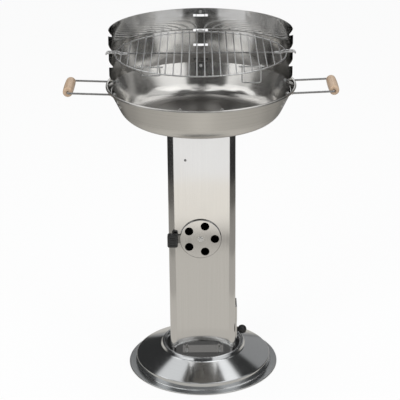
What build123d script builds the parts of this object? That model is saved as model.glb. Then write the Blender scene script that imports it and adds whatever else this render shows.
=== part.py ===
from build123d import *

import os
from math import asin, atan2, cos, degrees, hypot, pi, radians, sin, sqrt, tan

os.makedirs("parts", exist_ok=True)

# Charcoal grill on a chimney column: a dished round foot, a flat-fronted column with an air
# rosette and an ash door, a fire bowl with wooden side grips, and a half-round windshield whose
# notched edges and rear slots hold a round wire grate at one of four heights.
# Millimetres, +Z up, the front faces -Y, the origin is the middle of the ring the foot stands on.

# Sheet and clearances
SHEET = 1.0
LAP_GAP = 0.2
CURVE_GAP = 0.1
WELD_GAP = 0.02
HOLE_GAP = 0.2
RUN_GAP = 0.05
SWING_GAP = 0.4

# Fasteners
M5_R = 2.5
M5_FLATS = 8.0
M5_NUT_H = 4.0
M5_HEAD_H = 3.5
M5_WASHER_R = 5.5
M5_WASHER_T = 1.0
M4_R = 2.0
M4_FLATS = 7.0
M4_NUT_H = 3.2
M4_HEAD_R = 3.6
M4_HEAD_H = 2.4
M4_HEAD_ROUND = 1.2
BOLT_TAIL = 3.0
RIVET_R = 1.6
RIVET_HEAD_R = 3.2
RIVET_HEAD_H = 1.3
RIVET_DOME = 0.8
RIVET_TAIL_R = 2.6
RIVET_TAIL_H = 1.0

# Foot
BASE_R = 200.0
BASE_EDGE_H = 3.0
BASE_EDGE_ROUND = 1.5
BASE_FLANGE_W = 20.0
BASE_FLANGE_RISE = 0.5
BASE_STEP_H = 19.7
BASE_STEP_FOOT_ROUND = 2.0
BASE_SHOULDER_ROUND = 3.0
BASE_CONE_RISE = 27.8
COLLAR_FOOT_ROUND = 4.0
COLLAR_RISE = 10.0
COLLAR_OUTER_LEAN = 4.0
COLLAR_W = 6.0
COLLAR_ROUND = 3.0
COLLAR_INNER_LEAN = 3.0
COLLAR_SINK = 7.0
FLOOR_ROUND = 2.0
FLOOR_MARGIN = 1.5

# Column
COLUMN_W = 174.0
COLUMN_D = 90.0
COLUMN_H = 634.0
COLUMN_CORNER = 18.0
COLUMN_REAR_CORNER = 3.0
COLUMN_RETURN = 16.0
BACK_MARGIN = 1.5
FOOT_TAB_W = 108.0
TOP_TAB_W = 130.0
TAB_REACH = 21.0
TAB_BOLT_INSET = 10.5
BACK_RIVET_ROWS = 5
BACK_RIVET_END = 50.0
FRONT_RIVET_X = -41.5
FRONT_RIVET_DROP = 97.0

# Air rosette on the column front
VENT_X = -4.0
VENT_RISE = 321.5
VENT_R = 54.5
VENT_CAP_H = 4.4
VENT_SHEET = 0.8
VENT_ROUND = 3.0
VENT_HOLES = 5
VENT_HOLE_R = 11.2
VENT_HOLE_MARGIN = 6.3
VENT_PIN_R = 3.0
VENT_SHOULDER_R = 5.5
VENT_HEAD_R = 5.0
VENT_HEAD_H = 2.2
VENT_HEAD_ROUND = 1.5
VENT_TAIL_R = 5.0
VENT_TAIL_H = 1.6
VENT_WASHER_R = 7.5
VENT_WASHER_T = 0.5
VENT_TAB_H = 22.0
VENT_TAB_INSET = 5.0
VENT_KNOB_GAP = 4.5
VENT_KNOB_W = 27.0
VENT_KNOB_H = 34.0
VENT_KNOB_D = 17.0
VENT_KNOB_ROUND = 5.0
VENT_KNOB_EDGE = 2.0
VENT_KNOB_BORE = 8.5
VENT_GROOVES = 4
VENT_GROOVE_W = 2.4
VENT_GROOVE_DEPTH = 1.2
VENT_GROOVE_LENGTH = 15.0

# Ash door on the right wall of the column
DOOR_RISE = 68.0
DOOR_W = 52.0
DOOR_H = 100.0
DOOR_PROUD = 4.0
DOOR_ROUND = 5.0
DOOR_LAP = 6.0
HINGE_PIN_R = 1.5
HINGE_PIN_HEAD_R = 2.3
HINGE_PIN_HEAD_H = 1.0
HINGE_BARREL_R = 3.0
HINGE_OFFSET = 4.0
HINGE_KNUCKLE = 16.0
HINGE_KNUCKLE_GAP = 0.3
HINGE_LEAF_W = 10.0
HINGE_LEAF_T = 1.0
BALL_R = 12.0
BALL_NECK_R = 5.5
BALL_NECK = 2.5
BALL_FROM_EDGE = 11.0
BALL_DROP = 25.0
BALL_BORE = 12.0

# Fire bowl
RIM_R = 240.0
RIM_BEAD_R = 3.5
RIM_CURL_ANGLE = 250.0
BOWL_DEPTH = 94.0
BOWL_FLARE = 50.0
BOWL_ROUND = 58.0
DRAFT_W = 104.0
DRAFT_D = 56.0

# Charcoal plate over the draught opening
COAL_CLEAR = 4.3
COAL_T = 2.0
COAL_HOLE_R = 4.0
COAL_RINGS = 3
COAL_RING_HOLES = 6
COAL_MARGIN = 14.0
COAL_GAP = 0.3

# Side handles
HANDLE_WIRE_R = 2.5
HANDLE_HALF_W = 57.0
HANDLE_BELOW_RIM = 12.0
HANDLE_BEND = 5.0
HANDLE_KNEE = 8.0
HANDLE_RISE = 4.0
HANDLE_REACH = 92.0
HANDLE_TAIL = 12.0
HANDLE_NUT_SETBACK = 5.0
HANDLE_COLLAR_R = 3.8
HANDLE_COLLAR_T = 1.5
HANDLE_COLLAR_SETBACK = 3.4
GRIP_R = 13.2
GRIP_END_ROUND = 5.0
GRIP_END_GAP = 0.5

# Windshield
WIND_INSET = 10.0
WIND_RISE = 138.0
WIND_FRONT_Y = -4.0
LEDGE_COUNT = 3
LEDGE_PITCH = 40.0
LEDGE_DROP = 19.0
LEDGE_SLOPE_ANGLE = 16.0
NOTCH_ROOT_Y = 50.0
NOTCH_ROOT_H = 3.5
NOTCH_MOUTH_H = 18.0
SLOT_W = 39.0
SLOT_H = 6.4
LUG_TOP_DROP = 16.0
LUG_H = 25.0
LUG_FRONT_ANGLE = 29.0
LUG_NECK_CLEAR = 12.0
LUG_NECK_W = 40.0
LUG_BOLT_ANGLE = 24.0
LUG_BOLT_MARGIN = 6.0
REAR_LUG_W = 32.0
REAR_LUG_DROP = 30.0
STRAP_W = 24.0
STRAP_T = 1.2
STRAP_TOP_DROP = 4.0
STRAP_WINDOW_W = 21.5
STRAP_RIVET_INSET = 6.0
STRAP_RIVET_LOW_DROP = 19.0
STRAP_RIVET_R = 2.0
STRAP_RIVET_HEAD_R = 4.1

# Cooking grate, on the second ledge from the top
GRATE_LEDGE = 1
GRATE_INSET = 16.5
GRATE_RING_WIRE_R = 1.8
GRATE_BAR_R = 1.5
GRATE_PITCH = 18.8
GRATE_EDGE = 13.0
HOOK_WIRE_R = 1.75
HOOK_SEAT_GAP = 0.25
HOOK_HALF_W = 9.0
HOOK_ROOT_LENGTH = 17.0
HOOK_RISE_INSET = 5.5
HOOK_PAST_SHEET = 2.5
HOOK_TIP = 3.5
HOOK_BEND = 2.5
REAR_HOOK_HALF_W = 5.0
REAR_HOOK_PAST_SHEET = 2.0

# Lifting bails under the front of the grate, hung beside two of its bars, which are counted from the outermost
BAIL_FROM_FRONT = 84.5
BAIL_BAR_R = 2.0
BAIL_BAR_END = 8.0
BAIL_INNER_COUNT = 5
BAIL_OUTER_COUNT = 3
BAIL_BESIDE_BAR = 4.0
BAIL_WIRE_R = 1.6
BAIL_DROP = 40.0
BAIL_BEND = 4.0
BAIL_LEFT_ANGLE = 44.0
BAIL_RIGHT_ANGLE = 0.0

SIDES = (("left", -1), ("right", 1))


def save(part, node):
    """Label a finished piece and write it under its node's name."""
    part.label = node
    export_step(part, f"parts/{node}.step")


def radial_plane(angle):
    """Upright plane through the Z axis: local X runs outward at the angle, local Y runs up."""
    turn = radians(angle)
    return Plane(origin=(0, 0, 0), x_dir=(cos(turn), sin(turn), 0), z_dir=(sin(turn), -cos(turn), 0))


def hexagon_radius(flats):
    """Corner radius of a hexagon from its width across flats."""
    return flats / sqrt(3)


# Column faces and the heights that follow from the foot and the column
FRONT_Y = -COLUMN_D / 2
BACK_Y = COLUMN_D / 2
SIDE_X = COLUMN_W / 2
BASE_STEP_R = BASE_R - BASE_FLANGE_W
BASE_STEP_FOOT = BASE_EDGE_H + BASE_FLANGE_RISE
BASE_STEP_TOP = BASE_STEP_FOOT + BASE_STEP_H
COLLAR_FOOT = BASE_STEP_TOP + BASE_CONE_RISE
COLLAR_TOP = COLLAR_FOOT + COLLAR_RISE
FLOOR_Z = COLLAR_TOP - COLLAR_SINK
FRONT_REACH = hypot(SIDE_X - COLUMN_CORNER, BACK_Y - COLUMN_CORNER) + COLUMN_CORNER
REAR_REACH = hypot(SIDE_X - COLUMN_REAR_CORNER, BACK_Y - COLUMN_REAR_CORNER) + COLUMN_REAR_CORNER
FLOOR_R = max(FRONT_REACH, REAR_REACH) + FLOOR_MARGIN + FLOOR_ROUND
COLLAR_INNER_R = FLOOR_R + COLLAR_INNER_LEAN
COLLAR_OUTER_R = COLLAR_INNER_R + COLLAR_W
COLLAR_FOOT_R = COLLAR_OUTER_R + COLLAR_OUTER_LEAN
BOWL_BOTTOM = FLOOR_Z + COLUMN_H
RIM_Z = BOWL_BOTTOM + BOWL_DEPTH
WIND_TOP = RIM_Z + WIND_RISE

# Bolts through the column's tabs and rivets down its back
TAB_BOLT_Y = BACK_Y + TAB_REACH / 2
FOOT_BOLT_X = FOOT_TAB_W / 2 - TAB_BOLT_INSET
TOP_BOLT_X = TOP_TAB_W / 2 - TAB_BOLT_INSET
FOOT_BOLTS = [(x, y) for x in (-FOOT_BOLT_X, FOOT_BOLT_X) for y in (-TAB_BOLT_Y, TAB_BOLT_Y)]
TOP_BOLTS = [(x, y) for x in (-TOP_BOLT_X, TOP_BOLT_X) for y in (-TAB_BOLT_Y, TAB_BOLT_Y)]
BACK_W = COLUMN_W - 2 * (COLUMN_REAR_CORNER + BACK_MARGIN)
BACK_RIVET_X = SIDE_X - (COLUMN_RETURN + COLUMN_REAR_CORNER) / 2
BACK_RIVET_STEP = (COLUMN_H - 2 * BACK_RIVET_END) / (BACK_RIVET_ROWS - 1)
BACK_RIVETS = [
    (side * BACK_RIVET_X, FLOOR_Z + BACK_RIVET_END + BACK_RIVET_STEP * row)
    for name, side in SIDES
    for row in range(BACK_RIVET_ROWS)
]
BACK_PLANE = Plane(origin=(0, BACK_Y, 0), x_dir=(-1, 0, 0), z_dir=(0, 1, 0))
FRONT_RIVET_PLANE = Plane(
    origin=(FRONT_RIVET_X, FRONT_Y, BOWL_BOTTOM - FRONT_RIVET_DROP), x_dir=(1, 0, 0), z_dir=(0, -1, 0)
)

# Air rosette
VENT_CENTRE = (VENT_X, FRONT_Y, FLOOR_Z + VENT_RISE)
VENT_PLANE = Plane(origin=VENT_CENTRE, x_dir=(1, 0, 0), z_dir=(0, -1, 0))
VENT_SECTION = Plane(origin=VENT_CENTRE, x_dir=(1, 0, 0), z_dir=(0, 0, -1))
VENT_AXIS = Axis(VENT_CENTRE, (0, -1, 0))
VENT_HOLE_CIRCLE_R = VENT_R - VENT_HOLE_R - VENT_HOLE_MARGIN
VENT_KNOB_R = VENT_R + VENT_KNOB_GAP + VENT_KNOB_W / 2

# Ash door
HINGE_X = SIDE_X + LAP_GAP + HINGE_BARREL_R
HINGE_LEAF_END = BACK_Y - SHEET - COLUMN_REAR_CORNER
HINGE_Y = HINGE_LEAF_END - HINGE_LEAF_W
DOOR_Y = HINGE_Y - HINGE_OFFSET - DOOR_W / 2
DOOR_Z = FLOOR_Z + DOOR_RISE
DOOR_PLANE = Plane(origin=(SIDE_X, DOOR_Y, DOOR_Z), x_dir=(0, 1, 0), z_dir=(1, 0, 0))
HINGE_STEP = HINGE_KNUCKLE + HINGE_KNUCKLE_GAP
HINGE_RIVET_Y = (HINGE_Y + HINGE_BARREL_R + HINGE_LEAF_END) / 2
HINGE_RIVET_PLANES = [
    Plane(origin=(SIDE_X + HINGE_LEAF_T, HINGE_RIVET_Y, DOOR_Z + step), x_dir=(0, 1, 0), z_dir=(1, 0, 0))
    for step in (-HINGE_STEP, HINGE_STEP)
]
BALL_PLANE = Plane(
    origin=(SIDE_X + DOOR_PROUD, DOOR_Y - DOOR_W / 2 + BALL_FROM_EDGE, DOOR_Z - BALL_DROP),
    x_dir=(0, 1, 0),
    z_dir=(1, 0, 0),
)

# Bowl wall: a straight flank from the lower corner, tangent to the curl of the rim
BOWL_CORNER_R = RIM_R - BOWL_FLARE
CURL_R = RIM_BEAD_R - SHEET
CURL_MIDDLE = (BOWL_FLARE - RIM_BEAD_R, BOWL_DEPTH - RIM_BEAD_R)
CURL_DISTANCE = hypot(*CURL_MIDDLE)
WALL_ANGLE = atan2(CURL_MIDDLE[1], CURL_MIDDLE[0]) + asin(CURL_R / CURL_DISTANCE)
WALL_LENGTH = sqrt(CURL_DISTANCE**2 - CURL_R**2)
WALL_TOP = (
    BOWL_CORNER_R + WALL_LENGTH * cos(WALL_ANGLE),
    BOWL_BOTTOM + WALL_LENGTH * sin(WALL_ANGLE),
)
WALL_STEP = SHEET / sin(WALL_ANGLE)
LAP_STEP = LAP_GAP / sin(WALL_ANGLE)
WALL_TILT = pi / 2 - WALL_ANGLE


def wall_radius(z):
    """Radius of the bowl's outer wall at a height on its straight flank."""
    return BOWL_CORNER_R + (z - BOWL_BOTTOM) / tan(WALL_ANGLE)


def wall_height(radius):
    """Height at which the bowl's outer flank has a radius."""
    return BOWL_BOTTOM + (radius - BOWL_CORNER_R) * tan(WALL_ANGLE)


def wall_plane(angle, z):
    """Plane on the bowl's outer flank, with its normal pointing out of the bowl."""
    turn = radians(angle)
    radius = wall_radius(z)
    return Plane(
        origin=(radius * cos(turn), radius * sin(turn), z),
        x_dir=(-sin(turn), cos(turn), 0),
        z_dir=(cos(turn) * cos(WALL_TILT), sin(turn) * cos(WALL_TILT), -sin(WALL_TILT)),
    )


def flank_band(low, high, laps, thickness):
    """Section of a conical sheet that lies inside the bowl's flank, the given number of laps in."""
    inset = laps * (WALL_STEP + LAP_STEP)
    step = thickness / sin(WALL_ANGLE)
    return [
        (wall_radius(low) - inset, low),
        (wall_radius(high) - inset, high),
        (wall_radius(high) - inset - step, high),
        (wall_radius(low) - inset - step, low),
    ]


# Windshield, its ledges and what it is fastened with
WIND_R = RIM_R - WIND_INSET
WIND_BOTTOM = wall_height(WIND_R + LAP_STEP + WALL_STEP)
WIND_FRONT_ANGLE = degrees(asin(WIND_FRONT_Y / WIND_R))
LEDGE_HEIGHTS = [WIND_TOP - LEDGE_DROP - LEDGE_PITCH * step for step in range(LEDGE_COUNT + 1)]
LEDGE_FALL = tan(radians(LEDGE_SLOPE_ANGLE))
LUG_TOP = RIM_Z - LUG_TOP_DROP
LUG_BOTTOM = LUG_TOP - LUG_H
LUG_NECK_ANGLE = degrees(asin((HANDLE_HALF_W + LUG_NECK_CLEAR) / WIND_R))
LUG_ROOT_ANGLE = LUG_NECK_ANGLE + degrees(LUG_NECK_W / WIND_R)
REAR_LUG_HALF_ANGLE = degrees(REAR_LUG_W / WIND_R) / 2
LUG_BOLTS = [
    wall_plane(angle, z)
    for angle in (-LUG_BOLT_ANGLE, 180 + LUG_BOLT_ANGLE)
    for z in (LUG_BOTTOM + LUG_BOLT_MARGIN, LUG_TOP - LUG_BOLT_MARGIN)
]
STRAP_OUTER_R = WIND_R - SHEET - LAP_GAP
STRAP_BOTTOM = wall_height(STRAP_OUTER_R + 2 * (WALL_STEP + LAP_STEP))
STRAP_HALF_ANGLE = degrees(STRAP_W / STRAP_OUTER_R) / 2
STRAP_TOP_GRIP = STRAP_T + LAP_GAP + SHEET + CURVE_GAP
STRAP_FOOT_GRIP = STRAP_T + 2 * (LAP_GAP + SHEET) + CURVE_GAP
STRAP_TOP_RIVET = Plane(
    origin=(0, WIND_R - STRAP_TOP_GRIP, WIND_TOP - STRAP_TOP_DROP - STRAP_RIVET_INSET),
    x_dir=(1, 0, 0),
    z_dir=(0, -1, 0),
)
STRAP_FOOT_WALL = wall_plane(90, RIM_Z - STRAP_RIVET_LOW_DROP)
STRAP_FOOT_RIVET = Plane(
    origin=STRAP_FOOT_WALL.offset(-STRAP_FOOT_GRIP).origin, x_dir=(1, 0, 0), z_dir=-STRAP_FOOT_WALL.z_dir
)


def ledge_z(ledge, y):
    """Height of a ledge, which falls towards the back and is measured under the grate's hook."""
    return LEDGE_HEIGHTS[ledge] - LEDGE_FALL * (y - HOOK_HALF_W)


# Grate heights, stacked up from the ledge that the hooks lie on
GRATE_R = WIND_R - GRATE_INSET
HOOK_LIFT = (HOOK_WIRE_R + HOOK_SEAT_GAP) / cos(radians(LEDGE_SLOPE_ANGLE))
HOOK_Z = LEDGE_HEIGHTS[GRATE_LEDGE] + HOOK_LIFT
RING_DROP = HOOK_WIRE_R + GRATE_RING_WIRE_R + WELD_GAP
RING_Z = HOOK_Z - RING_DROP
BAR_Z = RING_Z + GRATE_RING_WIRE_R + GRATE_BAR_R + WELD_GAP
SLOT_LOWS = [ledge + HOOK_LIFT - RING_DROP - HOOK_WIRE_R - HOOK_SEAT_GAP for ledge in LEDGE_HEIGHTS]
GRATE_BARS = 2 * round((GRATE_R - GRATE_EDGE) / GRATE_PITCH)
BAR_PLACES = [(index - (GRATE_BARS - 1) / 2) * GRATE_PITCH for index in range(GRATE_BARS)]
OUTER_BAR_X = BAR_PLACES[-1]
BAIL_BAR_Y = BAIL_FROM_FRONT - GRATE_R
BAIL_BAR_Z = BAR_Z - GRATE_BAR_R - BAIL_BAR_R - WELD_GAP
BAIL_EYE_R = BAIL_BAR_R + RUN_GAP + BAIL_WIRE_R
BAIL_X0 = BAR_PLACES[-1 - BAIL_INNER_COUNT] - BAIL_BESIDE_BAR
BAIL_X1 = BAR_PLACES[-1 - BAIL_OUTER_COUNT] + BAIL_BESIDE_BAR

# Handles
HANDLE_Z = RIM_Z - HANDLE_BELOW_RIM
HANDLE_X = RIM_R + HANDLE_REACH
GRIP_Z = HANDLE_Z + HANDLE_RISE
HANDLE_WALL_X = sqrt(wall_radius(HANDLE_Z) ** 2 - HANDLE_HALF_W**2)
HANDLE_RODS = [(side, y) for name, side in SIDES for y in (-HANDLE_HALF_W, HANDLE_HALF_W)]


def rivet(plane, grip, shank_r, head_r):
    """Blind rivet: domed head on the plane, shank through the grip, tail behind it."""
    with BuildPart() as one:
        with BuildSketch(plane):
            Circle(head_r)
        extrude(amount=RIVET_HEAD_H)
        fillet(one.faces().sort_by(Axis(plane.origin, plane.z_dir))[-1].edges(), RIVET_DOME)
        with BuildSketch(plane):
            Circle(shank_r)
        extrude(amount=-grip)
        with BuildSketch(plane.offset(-grip)):
            Circle(shank_r + RIVET_TAIL_R - RIVET_R)
        extrude(amount=-RIVET_TAIL_H)
    return one.part


def button_bolt(plane, length):
    """Round-headed bolt: head on the plane, shank of the given length behind it."""
    with BuildPart() as one:
        with BuildSketch(plane):
            Circle(M4_HEAD_R)
        extrude(amount=M4_HEAD_H)
        fillet(one.faces().sort_by(Axis(plane.origin, plane.z_dir))[-1].edges(), M4_HEAD_ROUND)
        with BuildSketch(plane):
            Circle(M4_R)
        extrude(amount=-length)
    return one.part


def upright_bolts(points, seat_z):
    """Hexagon bolts with their heads under a seat, long enough for two sheets, washer and nut."""
    with BuildPart() as bolts:
        with BuildSketch(Plane.XY.offset(seat_z)):
            with Locations(*points):
                RegularPolygon(hexagon_radius(M5_FLATS), 6)
        extrude(amount=-M5_HEAD_H)
        with BuildSketch(Plane.XY.offset(seat_z)):
            with Locations(*points):
                Circle(M5_R)
        extrude(amount=2 * SHEET + M5_WASHER_T + M5_NUT_H + BOLT_TAIL)
    return bolts.part


def upright_washers(points, seat_z):
    """Flat washers lying on a seat."""
    with BuildPart() as washers:
        with BuildSketch(Plane.XY.offset(seat_z)):
            with Locations(*points):
                Circle(M5_WASHER_R)
                Circle(M5_R + HOLE_GAP, mode=Mode.SUBTRACT)
        extrude(amount=M5_WASHER_T)
    return washers.part


def upright_nuts(points, seat_z):
    """Hexagon nuts standing on a seat."""
    with BuildPart() as nuts:
        with BuildSketch(Plane.XY.offset(seat_z)):
            with Locations(*points):
                RegularPolygon(hexagon_radius(M5_FLATS), 6)
                Circle(M5_R, mode=Mode.SUBTRACT)
        extrude(amount=M5_NUT_H)
    return nuts.part


# Foot: one stamped dish with a flange, a step, a cone, a rounded collar and a sunken floor
with BuildPart() as base_dish:
    with BuildSketch(Plane.XZ):
        with BuildLine():
            FilletPolyline(
                (BASE_R, 0),
                (BASE_R, BASE_EDGE_H),
                (BASE_STEP_R, BASE_STEP_FOOT),
                (BASE_STEP_R, BASE_STEP_TOP),
                (COLLAR_FOOT_R, COLLAR_FOOT),
                (COLLAR_OUTER_R, COLLAR_TOP),
                (COLLAR_INNER_R, COLLAR_TOP),
                (FLOOR_R, FLOOR_Z),
                (0, FLOOR_Z),
                radius=[
                    BASE_EDGE_ROUND,
                    BASE_STEP_FOOT_ROUND,
                    BASE_SHOULDER_ROUND,
                    COLLAR_FOOT_ROUND,
                    COLLAR_ROUND,
                    COLLAR_ROUND,
                    FLOOR_ROUND,
                ],
            )
            offset(amount=SHEET, side=Side.LEFT)
        make_face()
    revolve(axis=Axis.Z)
    with Locations(*[(x, y, FLOOR_Z) for x, y in FOOT_BOLTS]):
        Hole(radius=M5_R + HOLE_GAP, depth=2 * SHEET)
save(base_dish.part, "base_dish")

# Column: a front shell with rounded corners that turns in at the back, with tabs bent out front
with BuildPart() as column_shell:
    with BuildSketch(Plane.XY.offset(FLOOR_Z)):
        with BuildLine():
            FilletPolyline(
                (SIDE_X - COLUMN_RETURN, BACK_Y - SHEET),
                (SIDE_X, BACK_Y - SHEET),
                (SIDE_X, FRONT_Y),
                (-SIDE_X, FRONT_Y),
                (-SIDE_X, BACK_Y - SHEET),
                (COLUMN_RETURN - SIDE_X, BACK_Y - SHEET),
                radius=[COLUMN_REAR_CORNER, COLUMN_CORNER, COLUMN_CORNER, COLUMN_REAR_CORNER],
            )
            offset(amount=SHEET, side=Side.RIGHT)
        make_face()
    extrude(amount=COLUMN_H)
    with Locations((0, FRONT_Y + SHEET, FLOOR_Z)):
        Box(FOOT_TAB_W, TAB_REACH + SHEET, SHEET, align=(Align.CENTER, Align.MAX, Align.MIN))
    with Locations((0, FRONT_Y + SHEET, BOWL_BOTTOM)):
        Box(TOP_TAB_W, TAB_REACH + SHEET, SHEET, align=(Align.CENTER, Align.MAX, Align.MAX))
    with Locations(*[(x, -TAB_BOLT_Y, FLOOR_Z + SHEET) for x in (-FOOT_BOLT_X, FOOT_BOLT_X)]):
        Hole(radius=M5_R + HOLE_GAP, depth=2 * SHEET)
    with Locations(*[(x, -TAB_BOLT_Y, BOWL_BOTTOM) for x in (-TOP_BOLT_X, TOP_BOLT_X)]):
        Hole(radius=M5_R + HOLE_GAP, depth=2 * SHEET)
    with BuildSketch(VENT_PLANE):
        Circle(VENT_PIN_R)
        with PolarLocations(VENT_HOLE_CIRCLE_R, VENT_HOLES):
            Circle(VENT_HOLE_R)
    extrude(amount=-2 * SHEET, mode=Mode.SUBTRACT)
    with BuildSketch(FRONT_RIVET_PLANE):
        Circle(RIVET_R)
    extrude(amount=-2 * SHEET, mode=Mode.SUBTRACT)
    with BuildSketch(DOOR_PLANE):
        RectangleRounded(DOOR_W - 2 * DOOR_LAP, DOOR_H - 2 * DOOR_LAP, DOOR_ROUND)
    extrude(amount=-2 * SHEET, mode=Mode.SUBTRACT)
    for plane in HINGE_RIVET_PLANES:
        with BuildSketch(plane):
            Circle(RIVET_R)
    extrude(amount=-2 * SHEET - HINGE_LEAF_T, mode=Mode.SUBTRACT)
    with BuildSketch(BACK_PLANE):
        with Locations(*BACK_RIVETS):
            Circle(RIVET_R)
    extrude(amount=-3 * SHEET, mode=Mode.SUBTRACT)
save(column_shell.part, "column_shell")

# Back panel of the column, riveted over the shell's returns, with its own tabs bent out behind
with BuildPart() as column_back:
    with Locations((0, BACK_Y - SHEET, FLOOR_Z)):
        Box(BACK_W, SHEET, COLUMN_H, align=(Align.CENTER, Align.MIN, Align.MIN))
        Box(FOOT_TAB_W, TAB_REACH + SHEET, SHEET, align=(Align.CENTER, Align.MIN, Align.MIN))
    with Locations((0, BACK_Y - SHEET, BOWL_BOTTOM)):
        Box(TOP_TAB_W, TAB_REACH + SHEET, SHEET, align=(Align.CENTER, Align.MIN, Align.MAX))
    with Locations(*[(x, TAB_BOLT_Y, FLOOR_Z + SHEET) for x in (-FOOT_BOLT_X, FOOT_BOLT_X)]):
        Hole(radius=M5_R + HOLE_GAP, depth=2 * SHEET)
    with Locations(*[(x, TAB_BOLT_Y, BOWL_BOTTOM) for x in (-TOP_BOLT_X, TOP_BOLT_X)]):
        Hole(radius=M5_R + HOLE_GAP, depth=2 * SHEET)
    with BuildSketch(BACK_PLANE):
        with Locations(*BACK_RIVETS):
            Circle(RIVET_R)
    extrude(amount=-2 * SHEET, mode=Mode.SUBTRACT)
save(column_back.part, "column_back")

# Rivets down the column's back, and the single one near the top of its front
with BuildPart() as column_rivets:
    for x, z in BACK_RIVETS:
        seat = Plane(origin=(x, BACK_Y, z), x_dir=(1, 0, 0), z_dir=(0, 1, 0))
        add(rivet(seat, 2 * SHEET, RIVET_R, RIVET_HEAD_R))
save(column_rivets.part, "column_rivets")

with BuildPart() as column_front_rivet:
    add(rivet(FRONT_RIVET_PLANE, SHEET, RIVET_R, RIVET_HEAD_R))
save(column_front_rivet.part, "column_front_rivet")

# Foot bolts: heads under the dish floor, washers and nuts on the column's tabs
save(upright_bolts(FOOT_BOLTS, FLOOR_Z - SHEET), "foot_bolts")
save(upright_washers(FOOT_BOLTS, FLOOR_Z + SHEET), "foot_washers")
save(upright_nuts(FOOT_BOLTS, FLOOR_Z + SHEET + M5_WASHER_T), "foot_nuts")

# Bowl bolts: heads under the column's top tabs, washers and nuts inside the bowl
save(upright_bolts(TOP_BOLTS, BOWL_BOTTOM - SHEET), "bowl_bolts")
save(upright_washers(TOP_BOLTS, BOWL_BOTTOM + SHEET), "bowl_washers")
save(upright_nuts(TOP_BOLTS, BOWL_BOTTOM + SHEET + M5_WASHER_T), "bowl_nuts")

# Air rosette: a shallow cap with round holes that turns over the same holes in the column
with BuildPart() as vent_disc:
    with BuildSketch(VENT_SECTION):
        with BuildLine():
            FilletPolyline(
                (0, VENT_CAP_H),
                (VENT_R, VENT_CAP_H),
                (VENT_R, SWING_GAP),
                radius=VENT_ROUND,
            )
            offset(amount=VENT_SHEET, side=Side.RIGHT)
        make_face()
    revolve(axis=VENT_AXIS)
    with BuildSketch(VENT_PLANE.offset(VENT_CAP_H)):
        with Locations((VENT_ROUND - VENT_R, 0)):
            Rectangle(
                VENT_KNOB_R + VENT_KNOB_W / 2 - VENT_TAB_INSET - VENT_R + VENT_ROUND,
                VENT_TAB_H,
                align=(Align.MAX, Align.CENTER),
            )
    extrude(amount=-VENT_SHEET)
    with BuildSketch(VENT_PLANE):
        Circle(VENT_PIN_R + RUN_GAP)
        with PolarLocations(VENT_HOLE_CIRCLE_R, VENT_HOLES):
            Circle(VENT_HOLE_R)
        with Locations((-VENT_KNOB_R, 0)):
            Circle(M4_R)
    extrude(amount=2 * VENT_CAP_H, mode=Mode.SUBTRACT)
save(vent_disc.part, "vent_disc")

# Pivot of the rosette: a shouldered rivet through the column front, with a washer under its head
with BuildPart() as vent_pivot:
    with BuildSketch(VENT_PLANE.offset(-SHEET)):
        Circle(VENT_TAIL_R)
    extrude(amount=-VENT_TAIL_H)
    with BuildSketch(VENT_PLANE.offset(-SHEET)):
        Circle(VENT_PIN_R)
    extrude(amount=SHEET + VENT_CAP_H + RUN_GAP + VENT_WASHER_T)
    with BuildSketch(VENT_PLANE):
        Circle(VENT_SHOULDER_R)
    extrude(amount=VENT_CAP_H - VENT_SHEET - RUN_GAP)
    with BuildSketch(VENT_PLANE.offset(VENT_CAP_H + RUN_GAP + VENT_WASHER_T)):
        Circle(VENT_HEAD_R)
    extrude(amount=VENT_HEAD_H)
    fillet(vent_pivot.faces().sort_by(Axis.Y)[0].edges(), VENT_HEAD_ROUND)
save(vent_pivot.part, "vent_pivot")

with BuildPart() as vent_washer:
    with BuildSketch(VENT_PLANE.offset(VENT_CAP_H + RUN_GAP)):
        Circle(VENT_WASHER_R)
        Circle(VENT_PIN_R, mode=Mode.SUBTRACT)
    extrude(amount=VENT_WASHER_T)
save(vent_washer.part, "vent_washer")

# Grooved knob on the rosette's tab, held by a screw from behind
with BuildPart() as vent_knob:
    with BuildSketch(VENT_PLANE.offset(VENT_CAP_H)):
        with Locations((-VENT_KNOB_R, 0)):
            RectangleRounded(VENT_KNOB_W, VENT_KNOB_H, VENT_KNOB_ROUND)
    extrude(amount=VENT_KNOB_D)
    fillet(vent_knob.faces().sort_by(Axis.Y)[0].edges(), VENT_KNOB_EDGE)
    with BuildSketch(VENT_PLANE.offset(VENT_CAP_H + VENT_KNOB_D)):
        with Locations((-VENT_KNOB_R, 0)):
            with GridLocations(0, VENT_KNOB_H / (VENT_GROOVES + 1), 1, VENT_GROOVES):
                SlotOverall(VENT_GROOVE_LENGTH, VENT_GROOVE_W)
    extrude(amount=-VENT_GROOVE_DEPTH, mode=Mode.SUBTRACT)
    with BuildSketch(VENT_PLANE.offset(VENT_CAP_H)):
        with Locations((-VENT_KNOB_R, 0)):
            Circle(M4_R)
    extrude(amount=VENT_KNOB_BORE, mode=Mode.SUBTRACT)
save(vent_knob.part, "vent_knob")

with BuildPart() as vent_knob_screw:
    with BuildSketch(VENT_PLANE.offset(VENT_CAP_H - VENT_SHEET)):
        with Locations((-VENT_KNOB_R, 0)):
            Circle(M4_R)
    extrude(amount=VENT_SHEET + VENT_KNOB_BORE)
    with BuildSketch(VENT_PLANE.offset(VENT_CAP_H - VENT_SHEET)):
        with Locations((-VENT_KNOB_R, 0)):
            Circle(M4_HEAD_R)
    extrude(amount=2 * SWING_GAP + VENT_SHEET - VENT_CAP_H)
save(vent_knob_screw.part, "vent_knob_screw")

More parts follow.
